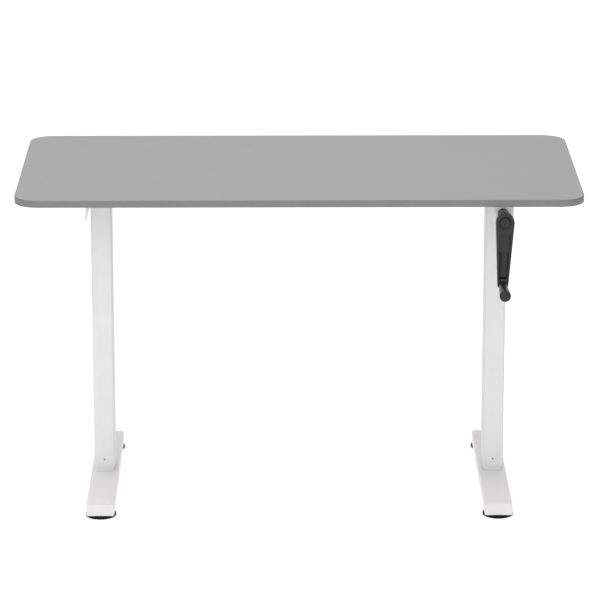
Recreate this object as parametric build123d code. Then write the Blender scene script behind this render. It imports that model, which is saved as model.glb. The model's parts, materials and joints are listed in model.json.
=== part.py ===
from build123d import *
import math
import os

# Height adjustable desk with a hand crank, drawn at its lowest height.
#
# Two T-shaped legs carry a flat desktop. In each leg a wide tube hangs from the desktop frame and
# slides over a narrower tube that stands on the foot. A lead screw hangs in the wide tube and turns
# in a nut at the top of the narrow one. The crank drives the right screw through a bevel gear, and
# a hexagonal cross shaft under the desktop drives the left screw from the same gear.
#
# Everything is in millimetres. +X is to the user's right, +Y is away from the user, +Z is up and
# the floor is at Z = 0. Pieces are drawn about the middle of the desktop, and the whole desk is
# moved along Y when it is written, so that the origin is under the middle of its outer box.

# --- Overall sizes ---------------------------------------------------------------------------
DESK_WIDTH = 1200.0  # along X
DESK_DEPTH = 600.0  # along Y
DESK_HEIGHT = 720.0  # top surface, fully lowered
LIFT_TRAVEL = 450.0  # how far the desktop can rise

# --- Desktop ---------------------------------------------------------------------------------
PANEL_THICK = 15.0
PANEL_CORNER_R = 52.0
PANEL_EDGE_R = 1.5

# --- Legs ------------------------------------------------------------------------------------
LEG_OFFSET = 430.0  # from the desk's middle to each column's axis
COLUMN_X = 45.0  # wide tube, outside
COLUMN_Y = 75.0
COLUMN_CORNER_R = 5.0
TUBE_WALL = 1.5
SLIDE_GAP = 1.0  # between the wide tube's inside and the narrow tube's outside
MOUTH_GAP = 13.0  # between the wide tube's mouth and the foot, fully lowered
LOWER_BUSH_LENGTH = 32.0
LOWER_BUSH_LIP = 1.0
TOP_SLIDER_LENGTH = 30.0
TOP_SLIDER_LIP = 1.6
TOP_SLIDER_LAP = 0.5  # of the lip, past the narrow tube's wall
SLIDE_CLEARANCE = 0.3  # between a bush and the tube that slides in it
BUSH_SCREW_D = 4.0
BUSH_SCREW_HEIGHT = 15.5  # above the wide tube's mouth
BUSH_SCREW_BITE = 0.4  # how far its tip seats in the bush

# --- Feet ------------------------------------------------------------------------------------
FOOT_X = 60.0
FOOT_HEIGHT = 27.0
FOOT_LENGTH = 512.0
FOOT_WALL = 2.0
FOOT_CORNER_R = 3.5
FOOT_CAP_FLANGE = 2.0
FOOT_CAP_PLUG = 7.5
FOOT_CAP_EDGE_R = 1.0
GLIDE_D = 65.0
GLIDE_HEIGHT = 6.0
GLIDE_TEETH = 34
GLIDE_NOTCH_D = 3.4
GLIDE_GAP = 1.0  # between the glide and the foot, screwed right in
GLIDE_EDGE_R = 1.2
GLIDE_NOTCH_OUT = 0.4  # from the rim out to a notch's axis
GLIDE_FRONT_INSET = 29.0  # from the foot's end to the glide's axis
GLIDE_REAR_INSET = 16.0
GLIDE_STUD_D = 8.0
GLIDE_STUD_TOP_GAP = 2.5  # below the inside of the foot's top wall
GLIDE_NUT_D = 11.0
GLIDE_NUT_LENGTH = 12.0
GLIDE_NUT_FLANGE_D = 17.0
GLIDE_NUT_FLANGE = 0.8
BASE_PLATE_THICK = 8.0
FOOT_BOLT_D = 6.0
FOOT_BOLT_X = 22.0  # spacing
FOOT_BOLT_Y = 44.0
FOOT_BOLT_HEAD_AF = 10.0
FOOT_BOLT_HEAD = 4.0

# --- Desktop frame ---------------------------------------------------------------------------
ARM_LENGTH = 480.0
ARM_GAUGE = 2.5
ARM_FOLD_R = 2.0
ARM_OUTER_FLANGE = 47.0  # height, web included
ARM_INNER_FLANGE = 18.0
PANEL_SCREW_D = 4.0
PANEL_SCREW_HEAD_D = 9.0
PANEL_SCREW_HEAD = 2.5
PANEL_SCREW_BITE = 10.0
PANEL_SCREW_Y = (65.0, 140.0, 215.0)
HANGER_THICK = 2.5
BRACKET_THICK = 3.0
BRACKET_Y = 108.0
BRACKET_HEIGHT = 43.0
BEAM_Y = 50.0
BEAM_HEIGHT = 40.0
BEAM_GAUGE = 2.0
BEAM_TOP_GAP = 2.0  # under the desktop
SHAFT_WINDOW_D = 22.0
BEAM_BOLT_D = 6.0
BEAM_BOLT_HEAD_AF = 10.0
BEAM_BOLT_HEAD = 4.0
BEAM_NUT_THICK = 5.0
BEAM_BOLT_PAST = 1.0  # how far a bolt's end stands out of its nut
BEAM_BOLT_SPAN = 88.0  # along Y
BEAM_BOLT_Z = (22.5, 35.0)  # below the arm's web

# --- Gearboxes -------------------------------------------------------------------------------
TOP_PLATE_THICK = 6.0
SHAFT_DROP = 29.0  # crank and cross shaft axis, below the desktop's underside
BOX_Y = 70.0
BOX_CORNER_R = 2.0
BOX_SIDE_GAP = 0.5  # between the housing and the arm's flanges
BOX_FLOOR = 2.5
BOX_ROOF = 14.0
BOX_SCREW_D = 5.0
BOX_SCREW_HEAD_D = 10.0
BOX_SCREW_X = 29.0  # spacing
BOX_SCREW_Y = 59.0
BOX_SCREW_BITE = 5.0  # into the top plate
BUSH_WALL = 2.0
BEARING_D = 24.0
BEARING_WASHER = 2.5
BALL_D = 3.8
BALL_COUNT = 10
BALL_RING_D = 17.0

# --- Gears -----------------------------------------------------------------------------------
GEAR_MODULE = 1.5
CROWN_TEETH = 18
PINION_TEETH = 12
TOOTH_SHARE = 0.42  # of a tooth's pitch, at the pitch line
TOOTH_ADDENDUM = 0.8  # in modules
TOOTH_DEDENDUM = 1.1
TOOTH_SINK = 0.1  # in modules, into the gear's body
TOOTH_TIP_SHARE = 0.55  # of the tooth's width at the pitch line
TOOTH_FACE_SHARE = 0.34  # of the cone distance
CROWN_HUB_D = 20.0
CROWN_BACK = 2.1  # metal behind the crown's teeth
PINION_BACK = 0.9
GEAR_ROOM = 0.8  # between a gear and its housing

# --- Screws, shafts and nuts -----------------------------------------------------------------
SCREW_D = 16.0
SCREW_JOURNAL_D = 10.0
SCREW_CHAMFER = 1.5
SCREW_SPARE = 79.0  # of the lead screw's length, beyond the travel
NUT_TOP_DROP = 28.0  # from the top plate down to the narrow tube's top
NUT_BARREL_D = 24.0
NUT_BARREL = 34.0
NUT_FLANGE_X = 35.0
NUT_FLANGE_Y = 50.0
NUT_FLANGE = 6.0
NUT_PLATE_THICK = 6.0
NUT_SCREW_D = 4.0
NUT_SCREW_X = 26.0
NUT_SCREW_Y = 38.0
NUT_SCREW_HEAD_D = 7.0
NUT_SCREW_HEAD = 2.4
CROSS_SHAFT_AF = 7.0
PINION_HUB_D = 12.0
SHAFT_COLLAR_D = 18.0
SHAFT_COLLAR = 8.0
CROSS_COLLAR_INSET = 12.0  # inside the crossbeam's end plates
INPUT_SHAFT_D = 10.0
INPUT_SPIGOT_D = 7.0
DRIVE_HEX_AF = 8.0

# --- Crank -----------------------------------------------------------------------------------
CRANK_EDGE_GAP = 6.5  # between the desktop's front edge and the back of the arm
CRANK_ARM_THICK = 15.0
CRANK_RADIUS = 136.5  # hub axis to grip axis
CRANK_TILT = 1.3  # degrees from straight down, towards the desk's middle
CRANK_HUB_D = 39.0
CRANK_TIP_WIDTH = 22.0
CRANK_END = 140.5  # hub axis to the end of the arm
CRANK_TIP_R = 4.0
CRANK_RIM_R = 1.8
BARREL_D = 24.0
BEARING_DOME_D = 23.0
BEARING_DOME = 8.0
BEARING_DOME_R = 2.5
BEARING_SPIGOT_D = 16.0
CRANK_SCREW_D = 5.0
CRANK_SCREW_HEAD_D = 9.0
CRANK_SCREW_HEAD = 4.0
CRANK_SCREW_HEX_AF = 4.0
CRANK_SCREW_HEX_DEPTH = 2.2
CRANK_SCREW_LENGTH = 16.0  # depth of its hole in the shaft
CRANK_SCREW_END_GAP = 2.0
HUB_FRONT_WALL = 10.0  # in front of the hex socket
HUB_CAP_D = 22.0
HUB_CAP_THICK = 3.0
HUB_CAP_SEAT = 2.5
HUB_CAP_EDGE_R = 0.4
HUB_CAP_DIMPLE_D = 6.0
HUB_CAP_DIMPLE = 1.5
HUB_RING_D = 28.0
HUB_RING_DEPTH = 0.8
RECESS_NEAR = 27.0  # hub axis to the near end of the finger recess
RECESS_FAR = 68.0
RECESS_WIDTH = 23.6
RECESS_CORNER_R = 2.0
FOLD_PIN_D = 4.0
FOLD_PIN_INSET = 0.6  # its ends, under the arm's sides
FOLD_PIN_RADIUS = 126.0  # hub axis to the fold pin
FORK_EAR_R = 5.5
FORK_SLOT = 16.0
FORK_TOP = 117.0
FORK_BACK_WALL = 3.5
KNUCKLE_SIDE_GAP = 0.3
KNUCKLE_COLLAR = 2.0
SPINDLE_D = 6.0
SPINDLE_HEAD_D = 10.0
SPINDLE_HEAD = 2.5
SPINDLE_END_GAP = 1.0  # behind the grip's end cap
GRIP_LENGTH = 85.0  # from the arm's front to the grip's tip
GRIP_ROOT_D = 18.0
GRIP_END_D = 24.0
GRIP_CAP = 5.0
GRIP_CAP_EDGE_R = 4.5
GRIP_CAP_PLUG = 4.0
FOLDED_ROOM = 0.6  # around the folded grip

# --- Fits ------------------------------------------------------------------------------------
HOLE_GAP = 0.2  # radial, around a screw that passes through
THREAD_GAP = 0.05  # radial, stands for the thread between a screw and its hole
RUNNING_GAP = 0.05  # radial, between a shaft and its bush
TURN_GAP = 0.2  # between faces that turn past each other
WELD_GAP = 0.1  # around a plate that is welded inside a tube
CUT_PAST = 1.0  # how far a hole is cut past a face
LEAST_INNER_R = 0.5  # inside edges of a tube
SAME_PLACE = 0.01  # closer than this counts as the same place

# --- Heights and places that follow ----------------------------------------------------------
PANEL_BOTTOM = DESK_HEIGHT - PANEL_THICK
FOOT_BOTTOM = GLIDE_HEIGHT + GLIDE_GAP
FOOT_TOP = FOOT_BOTTOM + FOOT_HEIGHT
WEB_BOTTOM = PANEL_BOTTOM - ARM_GAUGE
COLUMN_TOP = PANEL_BOTTOM - ARM_OUTER_FLANGE
COLUMN_MOUTH = FOOT_TOP + MOUTH_GAP
TOP_PLATE_BOTTOM = COLUMN_TOP - TOP_PLATE_THICK
SHAFT_Z = PANEL_BOTTOM - SHAFT_DROP
INNER_X = COLUMN_X - 2 * (TUBE_WALL + SLIDE_GAP)
INNER_Y = COLUMN_Y - 2 * (TUBE_WALL + SLIDE_GAP)
INNER_CORNER_R = COLUMN_CORNER_R - TUBE_WALL
INNER_TOP = TOP_PLATE_BOTTOM - NUT_TOP_DROP
BOX_X = COLUMN_X - 2 * (ARM_GAUGE + BOX_SIDE_GAP)
BEARING_TOP = COLUMN_TOP
BEARING_HEIGHT = 2 * BEARING_WASHER + BALL_D
SCREW_SHOULDER = BEARING_TOP - BEARING_HEIGHT - TURN_GAP
SCREW_BOTTOM = SCREW_SHOULDER - LIFT_TRAVEL - SCREW_SPARE
ARM_FRONT = -ARM_LENGTH / 2
HANGER_FRONT = ARM_FRONT - HANGER_THICK
DOME_FRONT = HANGER_FRONT - BEARING_DOME
CRANK_BACK = -DESK_DEPTH / 2 - CRANK_EDGE_GAP
CRANK_FRONT = CRANK_BACK - CRANK_ARM_THICK
GRIP_TIP = CRANK_FRONT - GRIP_LENGTH
FOLD_PIN_Y = CRANK_FRONT + FORK_EAR_R
GRIP_ROOT = CRANK_FRONT - KNUCKLE_COLLAR
SOCKET_FRONT = CRANK_FRONT + HUB_FRONT_WALL
ORIGIN_SHIFT_Y = -(GRIP_TIP + DESK_DEPTH / 2) / 2

# Bevel gear sizes. The cone distance is from the shared apex to the outer end of a tooth.
CROWN_PITCH_R = GEAR_MODULE * CROWN_TEETH / 2
PINION_PITCH_R = GEAR_MODULE * PINION_TEETH / 2
CONE_DISTANCE = math.hypot(CROWN_PITCH_R, PINION_PITCH_R)
CONE_INNER_SHARE = 1 - TOOTH_FACE_SHARE
PINION_REACH = CROWN_PITCH_R + TOOTH_DEDENDUM * GEAR_MODULE + PINION_BACK
CROWN_REACH = PINION_PITCH_R + TOOTH_DEDENDUM * GEAR_MODULE + CROWN_BACK
CROWN_ROOM_R = CROWN_PITCH_R + TOOTH_ADDENDUM * GEAR_MODULE + GEAR_ROOM
PINION_ROOM_R = PINION_PITCH_R + TOOTH_ADDENDUM * GEAR_MODULE + GEAR_ROOM

LEFT = -1
RIGHT = 1
SIDES = {"left": LEFT, "right": RIGHT}


# --- Shapes that are used again and again ----------------------------------------------------
def block(x_low, x_high, y_low, y_high, z_low, z_high):
    """Box between two corners."""
    size = Box(x_high - x_low, y_high - y_low, z_high - z_low)
    return Pos((x_low + x_high) / 2, (y_low + y_high) / 2, (z_low + z_high) / 2) * size


def rod_x(diameter, x_low, x_high, y=0.0, z=0.0):
    """Round bar along X."""
    return Pos((x_low + x_high) / 2, y, z) * Rot(0, 90, 0) * Cylinder(diameter / 2, x_high - x_low)


def rod_y(diameter, y_low, y_high, x=0.0, z=0.0):
    """Round bar along Y."""
    return Pos(x, (y_low + y_high) / 2, z) * Rot(90, 0, 0) * Cylinder(diameter / 2, y_high - y_low)


def rod_z(diameter, z_low, z_high, x=0.0, y=0.0):
    """Round bar along Z."""
    return Pos(x, y, (z_low + z_high) / 2) * Cylinder(diameter / 2, z_high - z_low)


def hex_z(across_flats, z_low, z_high, x=0.0, y=0.0):
    """Hexagonal bar along Z."""
    outline = RegularPolygon(across_flats / math.sqrt(3), 6)
    return Pos(x, y, z_low) * extrude(outline, z_high - z_low)


def hex_x(across_flats, x_low, x_high, y=0.0, z=0.0):
    """Hexagonal bar along X."""
    return Pos(0, y, z) * Rot(0, 90, 0) * hex_z(across_flats, x_low, x_high)


def hex_y(across_flats, y_low, y_high, x=0.0, z=0.0):
    """Hexagonal bar along Y."""
    return Pos(x, 0, z) * Rot(-90, 0, 0) * hex_z(across_flats, y_low, y_high)


def rounded_bar(size_x, size_y, radius, z_low, z_high):
    """Upright bar with rounded vertical edges, about the Z axis."""
    return Pos(0, 0, z_low) * extrude(RectangleRounded(size_x, size_y, radius), z_high - z_low)


def rounded_tube(size_x, size_y, radius, wall, z_low, z_high):
    """Upright rectangular tube with rounded edges, about the Z axis."""
    inner_radius = max(radius - wall, LEAST_INNER_R)
    outside = rounded_bar(size_x, size_y, radius, z_low, z_high)
    inside = rounded_bar(size_x - 2 * wall, size_y - 2 * wall, inner_radius, z_low, z_high)
    return outside - inside


def corners(span_x, span_y):
    """Centres of the four holes of a rectangular pattern."""
    return [(sx * span_x / 2, sy * span_y / 2) for sx in (-1, 1) for sy in (-1, 1)]


def at_leg(side, piece):
    """A piece drawn about a column's axis, moved to the left or right leg."""
    return Pos(side * LEG_OFFSET, 0, 0) * piece


def at_both_legs(piece):
    """Two equal pieces, one in each leg."""
    return [at_leg(side, piece) for side in (LEFT, RIGHT)]


# --- Bevel gears -----------------------------------------------------------------------------
def bevel_gear(teeth, mate_teeth, first_tooth, back):
    """Straight bevel gear without a bore: apex at the origin, axis along +Z towards its back.

    One tooth is at the angle first_tooth, in degrees, and back is the apex's distance to the rear.
    """
    pitch_r = GEAR_MODULE * teeth / 2
    half_cone = math.atan2(teeth, mate_teeth)
    axial = CONE_DISTANCE * math.cos(half_cone)
    tip = TOOTH_ADDENDUM * GEAR_MODULE
    root = -TOOTH_DEDENDUM * GEAR_MODULE
    half_width = TOOTH_SHARE * math.pi * GEAR_MODULE / 2

    def on_cone(height, across):
        """Point of the outer tooth section, at a height over the pitch cone."""
        return Vector(
            pitch_r + height * math.cos(half_cone),
            across,
            axial - height * math.sin(half_cone),
        )

    section = [
        on_cone(root - TOOTH_SINK * GEAR_MODULE, -half_width),
        on_cone(0, -half_width),
        on_cone(tip, -half_width * TOOTH_TIP_SHARE),
        on_cone(tip, half_width * TOOTH_TIP_SHARE),
        on_cone(0, half_width),
        on_cone(root - TOOTH_SINK * GEAR_MODULE, half_width),
    ]
    outer_face = make_face(Polyline(*section, close=True))
    inner_face = make_face(Polyline(*[p * CONE_INNER_SHARE for p in section], close=True))
    tooth = loft([outer_face, inner_face], ruled=True)

    root_point = on_cone(root, 0)
    inner_point = root_point * CONE_INNER_SHARE
    outline = Polyline(
        (0, inner_point.Z),
        (inner_point.X, inner_point.Z),
        (root_point.X, root_point.Z),
        (root_point.X, back),
        (0, back),
        close=True,
    )
    gear = revolve(Plane.XZ * make_face(outline), Axis.Z)
    for index in range(teeth):
        gear += Rot(0, 0, first_tooth + index * 360 / teeth) * tooth
    return gear


# --- Desktop ---------------------------------------------------------------------------------
def desktop_panel():
    """Flat panel with round corners and pilot holes for the screws from below."""
    panel = rounded_bar(DESK_WIDTH, DESK_DEPTH, PANEL_CORNER_R, PANEL_BOTTOM, DESK_HEIGHT)
    rims = panel.faces().sort_by(Axis.Z)[-1].edges() + panel.faces().sort_by(Axis.Z)[0].edges()
    panel = fillet(rims, PANEL_EDGE_R)
    for x, y in panel_screw_places():
        hole_d = PANEL_SCREW_D + 2 * THREAD_GAP
        panel -= rod_z(hole_d, PANEL_BOTTOM - CUT_PAST, PANEL_BOTTOM + PANEL_SCREW_BITE, x, y)
    return panel


def panel_screw_places():
    """Where the desktop's screws stand, along both support arms."""
    return [
        (side * LEG_OFFSET, sign * y)
        for side in (LEFT, RIGHT)
        for y in PANEL_SCREW_Y
        for sign in (-1, 1)
    ]


def desktop_screws():
    """Pan-head screws through the arms' webs into the panel."""
    screws = []
    for x, y in panel_screw_places():
        head = rod_z(PANEL_SCREW_HEAD_D, WEB_BOTTOM - PANEL_SCREW_HEAD, WEB_BOTTOM, x, y)
        shank = rod_z(PANEL_SCREW_D, WEB_BOTTOM, PANEL_BOTTOM + PANEL_SCREW_BITE, x, y)
        screws.append(head + shank)
    return screws


# --- Desktop frame ---------------------------------------------------------------------------
def support_arm(side):
    """Folded channel from front to back: web under the desktop, tall flange on the outside."""
    half = COLUMN_X / 2
    near, far = ARM_FRONT, -ARM_FRONT
    arm = block(-half, half, near, far, WEB_BOTTOM, PANEL_BOTTOM)
    arm += block(half - ARM_GAUGE, half, near, far, COLUMN_TOP, PANEL_BOTTOM)
    inner_low = PANEL_BOTTOM - ARM_INNER_FLANGE
    arm += block(-half, ARM_GAUGE - half, near, far, inner_low, PANEL_BOTTOM)
    folds = [edge for edge in arm.edges().filter_by(Axis.Y) if is_outer_fold(edge)]
    arm = fillet(folds, ARM_FOLD_R)
    for x, y in corners(BOX_SCREW_X, BOX_SCREW_Y):
        arm -= screw_sink(x, y)
    for y in PANEL_SCREW_Y:
        for sign in (-1, 1):
            hole_d = PANEL_SCREW_D + 2 * HOLE_GAP
            arm -= rod_z(hole_d, WEB_BOTTOM - CUT_PAST, PANEL_BOTTOM + CUT_PAST, 0, sign * y)
    if side == LEFT:
        arm = Rot(0, 0, 180) * arm
    return at_leg(side, arm)


def is_outer_fold(edge):
    """The two top edges of a support arm, where the sheet is folded."""
    middle = edge.center()
    on_top = abs(middle.Z - PANEL_BOTTOM) < SAME_PLACE
    return on_top and abs(abs(middle.X) - COLUMN_X / 2) < SAME_PLACE


def screw_sink(x, y):
    """Countersunk hole through the web for a gearbox screw."""
    hole = rod_z(BOX_SCREW_D + 2 * HOLE_GAP, WEB_BOTTOM - CUT_PAST, PANEL_BOTTOM, x, y)
    wide = BOX_SCREW_HEAD_D / 2 + HOLE_GAP
    narrow = BOX_SCREW_D / 2 + HOLE_GAP
    middle = (WEB_BOTTOM + PANEL_BOTTOM) / 2
    return hole + Pos(x, y, middle) * Cone(narrow, wide, ARM_GAUGE)


def crank_hanger_plate():
    """Plate welded across the front end of the right arm. It carries the crank's bearing."""
    half = COLUMN_X / 2
    plate = block(-half, half, HANGER_FRONT, ARM_FRONT, COLUMN_TOP, PANEL_BOTTOM)
    hole_d = BEARING_SPIGOT_D + 2 * WELD_GAP
    hole = rod_y(hole_d, HANGER_FRONT - CUT_PAST, ARM_FRONT + CUT_PAST, 0, SHAFT_Z)
    return at_leg(RIGHT, plate - hole)


def beam_plate(outer_x):
    """Upright plate with a window for the cross shaft and four bolt holes."""
    low = WEB_BOTTOM - BRACKET_HEIGHT
    plate = block(outer_x - BRACKET_THICK, outer_x, -BRACKET_Y / 2, BRACKET_Y / 2, low, WEB_BOTTOM)
    cut_low = outer_x - BRACKET_THICK - CUT_PAST
    cut_high = outer_x + CUT_PAST
    plate -= rod_x(SHAFT_WINDOW_D, cut_low, cut_high, 0, SHAFT_Z)
    for y, z in beam_bolt_places():
        plate -= rod_x(BEAM_BOLT_D + 2 * HOLE_GAP, cut_low, cut_high, y, z)
    return plate


def beam_bolt_places():
    """Bolt centres in the YZ plane, the same at both ends of the crossbeam."""
    return [
        (sign * BEAM_BOLT_SPAN / 2, WEB_BOTTOM - drop) for sign in (-1, 1) for drop in BEAM_BOLT_Z
    ]


BRACKET_OUTER_X = LEG_OFFSET - COLUMN_X / 2
END_PLATE_OUTER_X = BRACKET_OUTER_X - BRACKET_THICK
BEAM_END_X = END_PLATE_OUTER_X - BRACKET_THICK


def mirrored_pair(piece):
    """A piece of the right half and its mirror image in the left half."""
    return [piece, mirror(piece, Plane.YZ)]


def crossbeam_channel():
    """Folded channel, open below, that joins the arms and covers the cross shaft."""
    high = PANEL_BOTTOM - BEAM_TOP_GAP - ARM_GAUGE
    low = high - BEAM_HEIGHT
    half = BEAM_Y / 2
    beam = block(-BEAM_END_X, BEAM_END_X, -half, half, low, high)
    folds = beam.edges().filter_by(Axis.X).group_by(Axis.Z)[-1]
    beam = fillet(folds, BEAM_GAUGE)
    inner = half - BEAM_GAUGE
    return beam - block(-BEAM_END_X, BEAM_END_X, -inner, inner, low, high - BEAM_GAUGE)


def crossbeam_bolts():
    """Hexagon bolts through the end plates and the arms' brackets."""
    bolts = []
    for y, z in beam_bolt_places():
        head = hex_x(BEAM_BOLT_HEAD_AF, BEAM_END_X - BEAM_BOLT_HEAD, BEAM_END_X, y, z)
        end = BRACKET_OUTER_X + BEAM_NUT_THICK + BEAM_BOLT_PAST
        bolts += mirrored_pair(head + rod_x(BEAM_BOLT_D, BEAM_END_X, end, y, z))
    return bolts


def crossbeam_nuts():
    """Hexagon nuts behind the arms' brackets."""
    nuts = []
    for y, z in beam_bolt_places():
        end = BRACKET_OUTER_X + BEAM_NUT_THICK
        nut = hex_x(BEAM_BOLT_HEAD_AF, BRACKET_OUTER_X, end, y, z)
        bore_d = BEAM_BOLT_D + 2 * THREAD_GAP
        nut -= rod_x(bore_d, BRACKET_OUTER_X - CUT_PAST, end + CUT_PAST, y, z)
        nuts += mirrored_pair(nut)
    return nuts


# --- Columns ---------------------------------------------------------------------------------
def outer_tube():
    """Wide column tube, with holes near its mouth for the bush screws."""
    tube = rounded_tube(COLUMN_X, COLUMN_Y, COLUMN_CORNER_R, TUBE_WALL, COLUMN_MOUTH, COLUMN_TOP)
    height = COLUMN_MOUTH + BUSH_SCREW_HEIGHT
    return tube - rod_y(BUSH_SCREW_D + 2 * THREAD_GAP, -COLUMN_Y, COLUMN_Y, 0, height)


def bush_screws():
    """Flush screws that hold the lower bush, front and back of each column."""
    height = COLUMN_MOUTH + BUSH_SCREW_HEIGHT
    face = COLUMN_Y / 2
    tip = face - TUBE_WALL - BUSH_SCREW_BITE
    pair = [
        rod_y(BUSH_SCREW_D, -face, -tip, 0, height),
        rod_y(BUSH_SCREW_D, tip, face, 0, height),
    ]
    return [at_leg(side, screw) for side in (LEFT, RIGHT) for screw in pair]


def lower_bush():
    """Plastic sleeve in the wide tube's mouth, with a lip under the tube's edge."""
    size_x = COLUMN_X - 2 * TUBE_WALL
    size_y = COLUMN_Y - 2 * TUBE_WALL
    radius = COLUMN_CORNER_R - TUBE_WALL
    top = COLUMN_MOUTH + LOWER_BUSH_LENGTH
    lip_low = COLUMN_MOUTH - LOWER_BUSH_LIP
    bush = rounded_bar(size_x, size_y, radius, COLUMN_MOUTH, top)
    bush += rounded_bar(COLUMN_X, COLUMN_Y, COLUMN_CORNER_R, lip_low, COLUMN_MOUTH)
    room_x = INNER_X + 2 * SLIDE_CLEARANCE
    room_y = INNER_Y + 2 * SLIDE_CLEARANCE
    bush -= rounded_bar(room_x, room_y, INNER_CORNER_R + SLIDE_CLEARANCE, lip_low, top)
    face = COLUMN_Y / 2
    tip = face - TUBE_WALL - BUSH_SCREW_BITE
    height = COLUMN_MOUTH + BUSH_SCREW_HEIGHT
    for near, far in ((-face, -tip), (tip, face)):
        bush -= rod_y(BUSH_SCREW_D + 2 * THREAD_GAP, near, far, 0, height)
    return bush


def column_top_plate():
    """Thick plate welded in the wide tube's top, under the gearbox."""
    size_x = COLUMN_X - 2 * (TUBE_WALL + WELD_GAP)
    size_y = COLUMN_Y - 2 * (TUBE_WALL + WELD_GAP)
    radius = COLUMN_CORNER_R - TUBE_WALL
    plate = rounded_bar(size_x, size_y, radius, TOP_PLATE_BOTTOM, COLUMN_TOP)
    plate -= rod_z(BEARING_D + 2 * WELD_GAP, TOP_PLATE_BOTTOM, COLUMN_TOP)
    for x, y in corners(BOX_SCREW_X, BOX_SCREW_Y):
        plate -= rod_z(BOX_SCREW_D + 2 * THREAD_GAP, TOP_PLATE_BOTTOM, COLUMN_TOP, x, y)
    return plate


def inner_tube():
    """Narrow column tube, standing on the foot."""
    return rounded_tube(INNER_X, INNER_Y, INNER_CORNER_R, TUBE_WALL, FOOT_TOP, INNER_TOP)


def top_slider():
    """Plastic collar around the narrow tube's top, running in the wide tube."""
    size_x = COLUMN_X - 2 * (TUBE_WALL + SLIDE_CLEARANCE)
    size_y = COLUMN_Y - 2 * (TUBE_WALL + SLIDE_CLEARANCE)
    low = INNER_TOP - TOP_SLIDER_LENGTH
    high = INNER_TOP + TOP_SLIDER_LIP
    slider = rounded_bar(size_x, size_y, INNER_CORNER_R, low, high)
    slider -= rounded_bar(INNER_X, INNER_Y, INNER_CORNER_R, low, INNER_TOP)
    opening_x = INNER_X - 2 * (TUBE_WALL + TOP_SLIDER_LAP)
    opening_y = INNER_Y - 2 * (TUBE_WALL + TOP_SLIDER_LAP)
    return slider - rounded_bar(opening_x, opening_y, INNER_CORNER_R - TUBE_WALL, low, high)


# --- Lead screw and nut ----------------------------------------------------------------------
NUT_SEAT = INNER_TOP - NUT_FLANGE
NUT_PLATE_LOW = NUT_SEAT - NUT_PLATE_THICK


def nut_plate():
    """Plate welded in the narrow tube, under the drive nut's flange."""
    size_x = INNER_X - 2 * (TUBE_WALL + WELD_GAP)
    size_y = INNER_Y - 2 * (TUBE_WALL + WELD_GAP)
    plate = rounded_bar(size_x, size_y, INNER_CORNER_R - TUBE_WALL, NUT_PLATE_LOW, NUT_SEAT)
    plate -= rod_z(NUT_BARREL_D + 2 * HOLE_GAP, NUT_PLATE_LOW, NUT_SEAT)
    for x, y in corners(NUT_SCREW_X, NUT_SCREW_Y):
        plate -= rod_z(NUT_SCREW_D + 2 * THREAD_GAP, NUT_PLATE_LOW, NUT_SEAT, x, y)
    return plate


def drive_nut():
    """Flanged nut that the lead screw turns in."""
    nut = rounded_bar(NUT_FLANGE_X, NUT_FLANGE_Y, INNER_CORNER_R, NUT_SEAT, INNER_TOP)
    nut += rod_z(NUT_BARREL_D, INNER_TOP - NUT_BARREL, NUT_SEAT)
    nut -= rod_z(SCREW_D + 2 * RUNNING_GAP, INNER_TOP - NUT_BARREL, INNER_TOP)
    for x, y in corners(NUT_SCREW_X, NUT_SCREW_Y):
        nut -= rod_z(NUT_SCREW_D + 2 * HOLE_GAP, NUT_SEAT, INNER_TOP, x, y)
        sink_low = INNER_TOP - NUT_SCREW_HEAD
        nut -= rod_z(NUT_SCREW_HEAD_D + 2 * HOLE_GAP, sink_low, INNER_TOP, x, y)
    return nut


def drive_nut_screws():
    """Flush screws that hold each drive nut to its plate."""
    screws = []
    for x, y in corners(NUT_SCREW_X, NUT_SCREW_Y):
        screw = rod_z(NUT_SCREW_HEAD_D, INNER_TOP - NUT_SCREW_HEAD, INNER_TOP, x, y)
        screw += rod_z(NUT_SCREW_D, NUT_PLATE_LOW, INNER_TOP - NUT_SCREW_HEAD, x, y)
        screws += at_both_legs(screw)
    return screws


def lead_screw():
    """Trapezoidal screw, drawn at its outside diameter, with a journal at its top."""
    screw = rod_z(SCREW_D, SCREW_BOTTOM, SCREW_SHOULDER)
    screw = chamfer(screw.edges().group_by(Axis.Z)[0], SCREW_CHAMFER)
    return screw + rod_z(SCREW_JOURNAL_D, SCREW_SHOULDER, CROWN_FRONT_Z)


def crown_gear():
    """Large bevel gear on the lead screw's journal."""
    gear = Rot(180, 0, 0) * bevel_gear(CROWN_TEETH, PINION_TEETH, 0, CROWN_REACH)
    gear = Pos(0, 0, SHAFT_Z) * gear
    hub_low = COLUMN_TOP + BOX_FLOOR + TURN_GAP
    gear += rod_z(CROWN_HUB_D, hub_low, SHAFT_Z - CROWN_REACH)
    return gear - rod_z(SCREW_JOURNAL_D, hub_low, SHAFT_Z)


CROWN_FRONT_Z = SHAFT_Z - CONE_INNER_SHARE * (
    PINION_PITCH_R + TOOTH_DEDENDUM * GEAR_MODULE * CROWN_PITCH_R / CONE_DISTANCE
)


def thrust_bearing():
    """Two washers and a ring of balls between the screw's shoulder and the gearbox."""
    low = BEARING_TOP - BEARING_HEIGHT
    bore = rod_z(SCREW_JOURNAL_D + 2 * RUNNING_GAP, low, BEARING_TOP)
    washers = [
        rod_z(BEARING_D, low, low + BEARING_WASHER) - bore,
        rod_z(BEARING_D, BEARING_TOP - BEARING_WASHER, BEARING_TOP) - bore,
    ]
    middle = low + BEARING_HEIGHT / 2
    balls = []
    for index in range(BALL_COUNT):
        angle = 2 * math.pi * index / BALL_COUNT
        x = BALL_RING_D / 2 * math.cos(angle)
        y = BALL_RING_D / 2 * math.sin(angle)
        balls.append(Pos(x, y, middle) * Sphere(BALL_D / 2))
    return washers + balls


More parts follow.
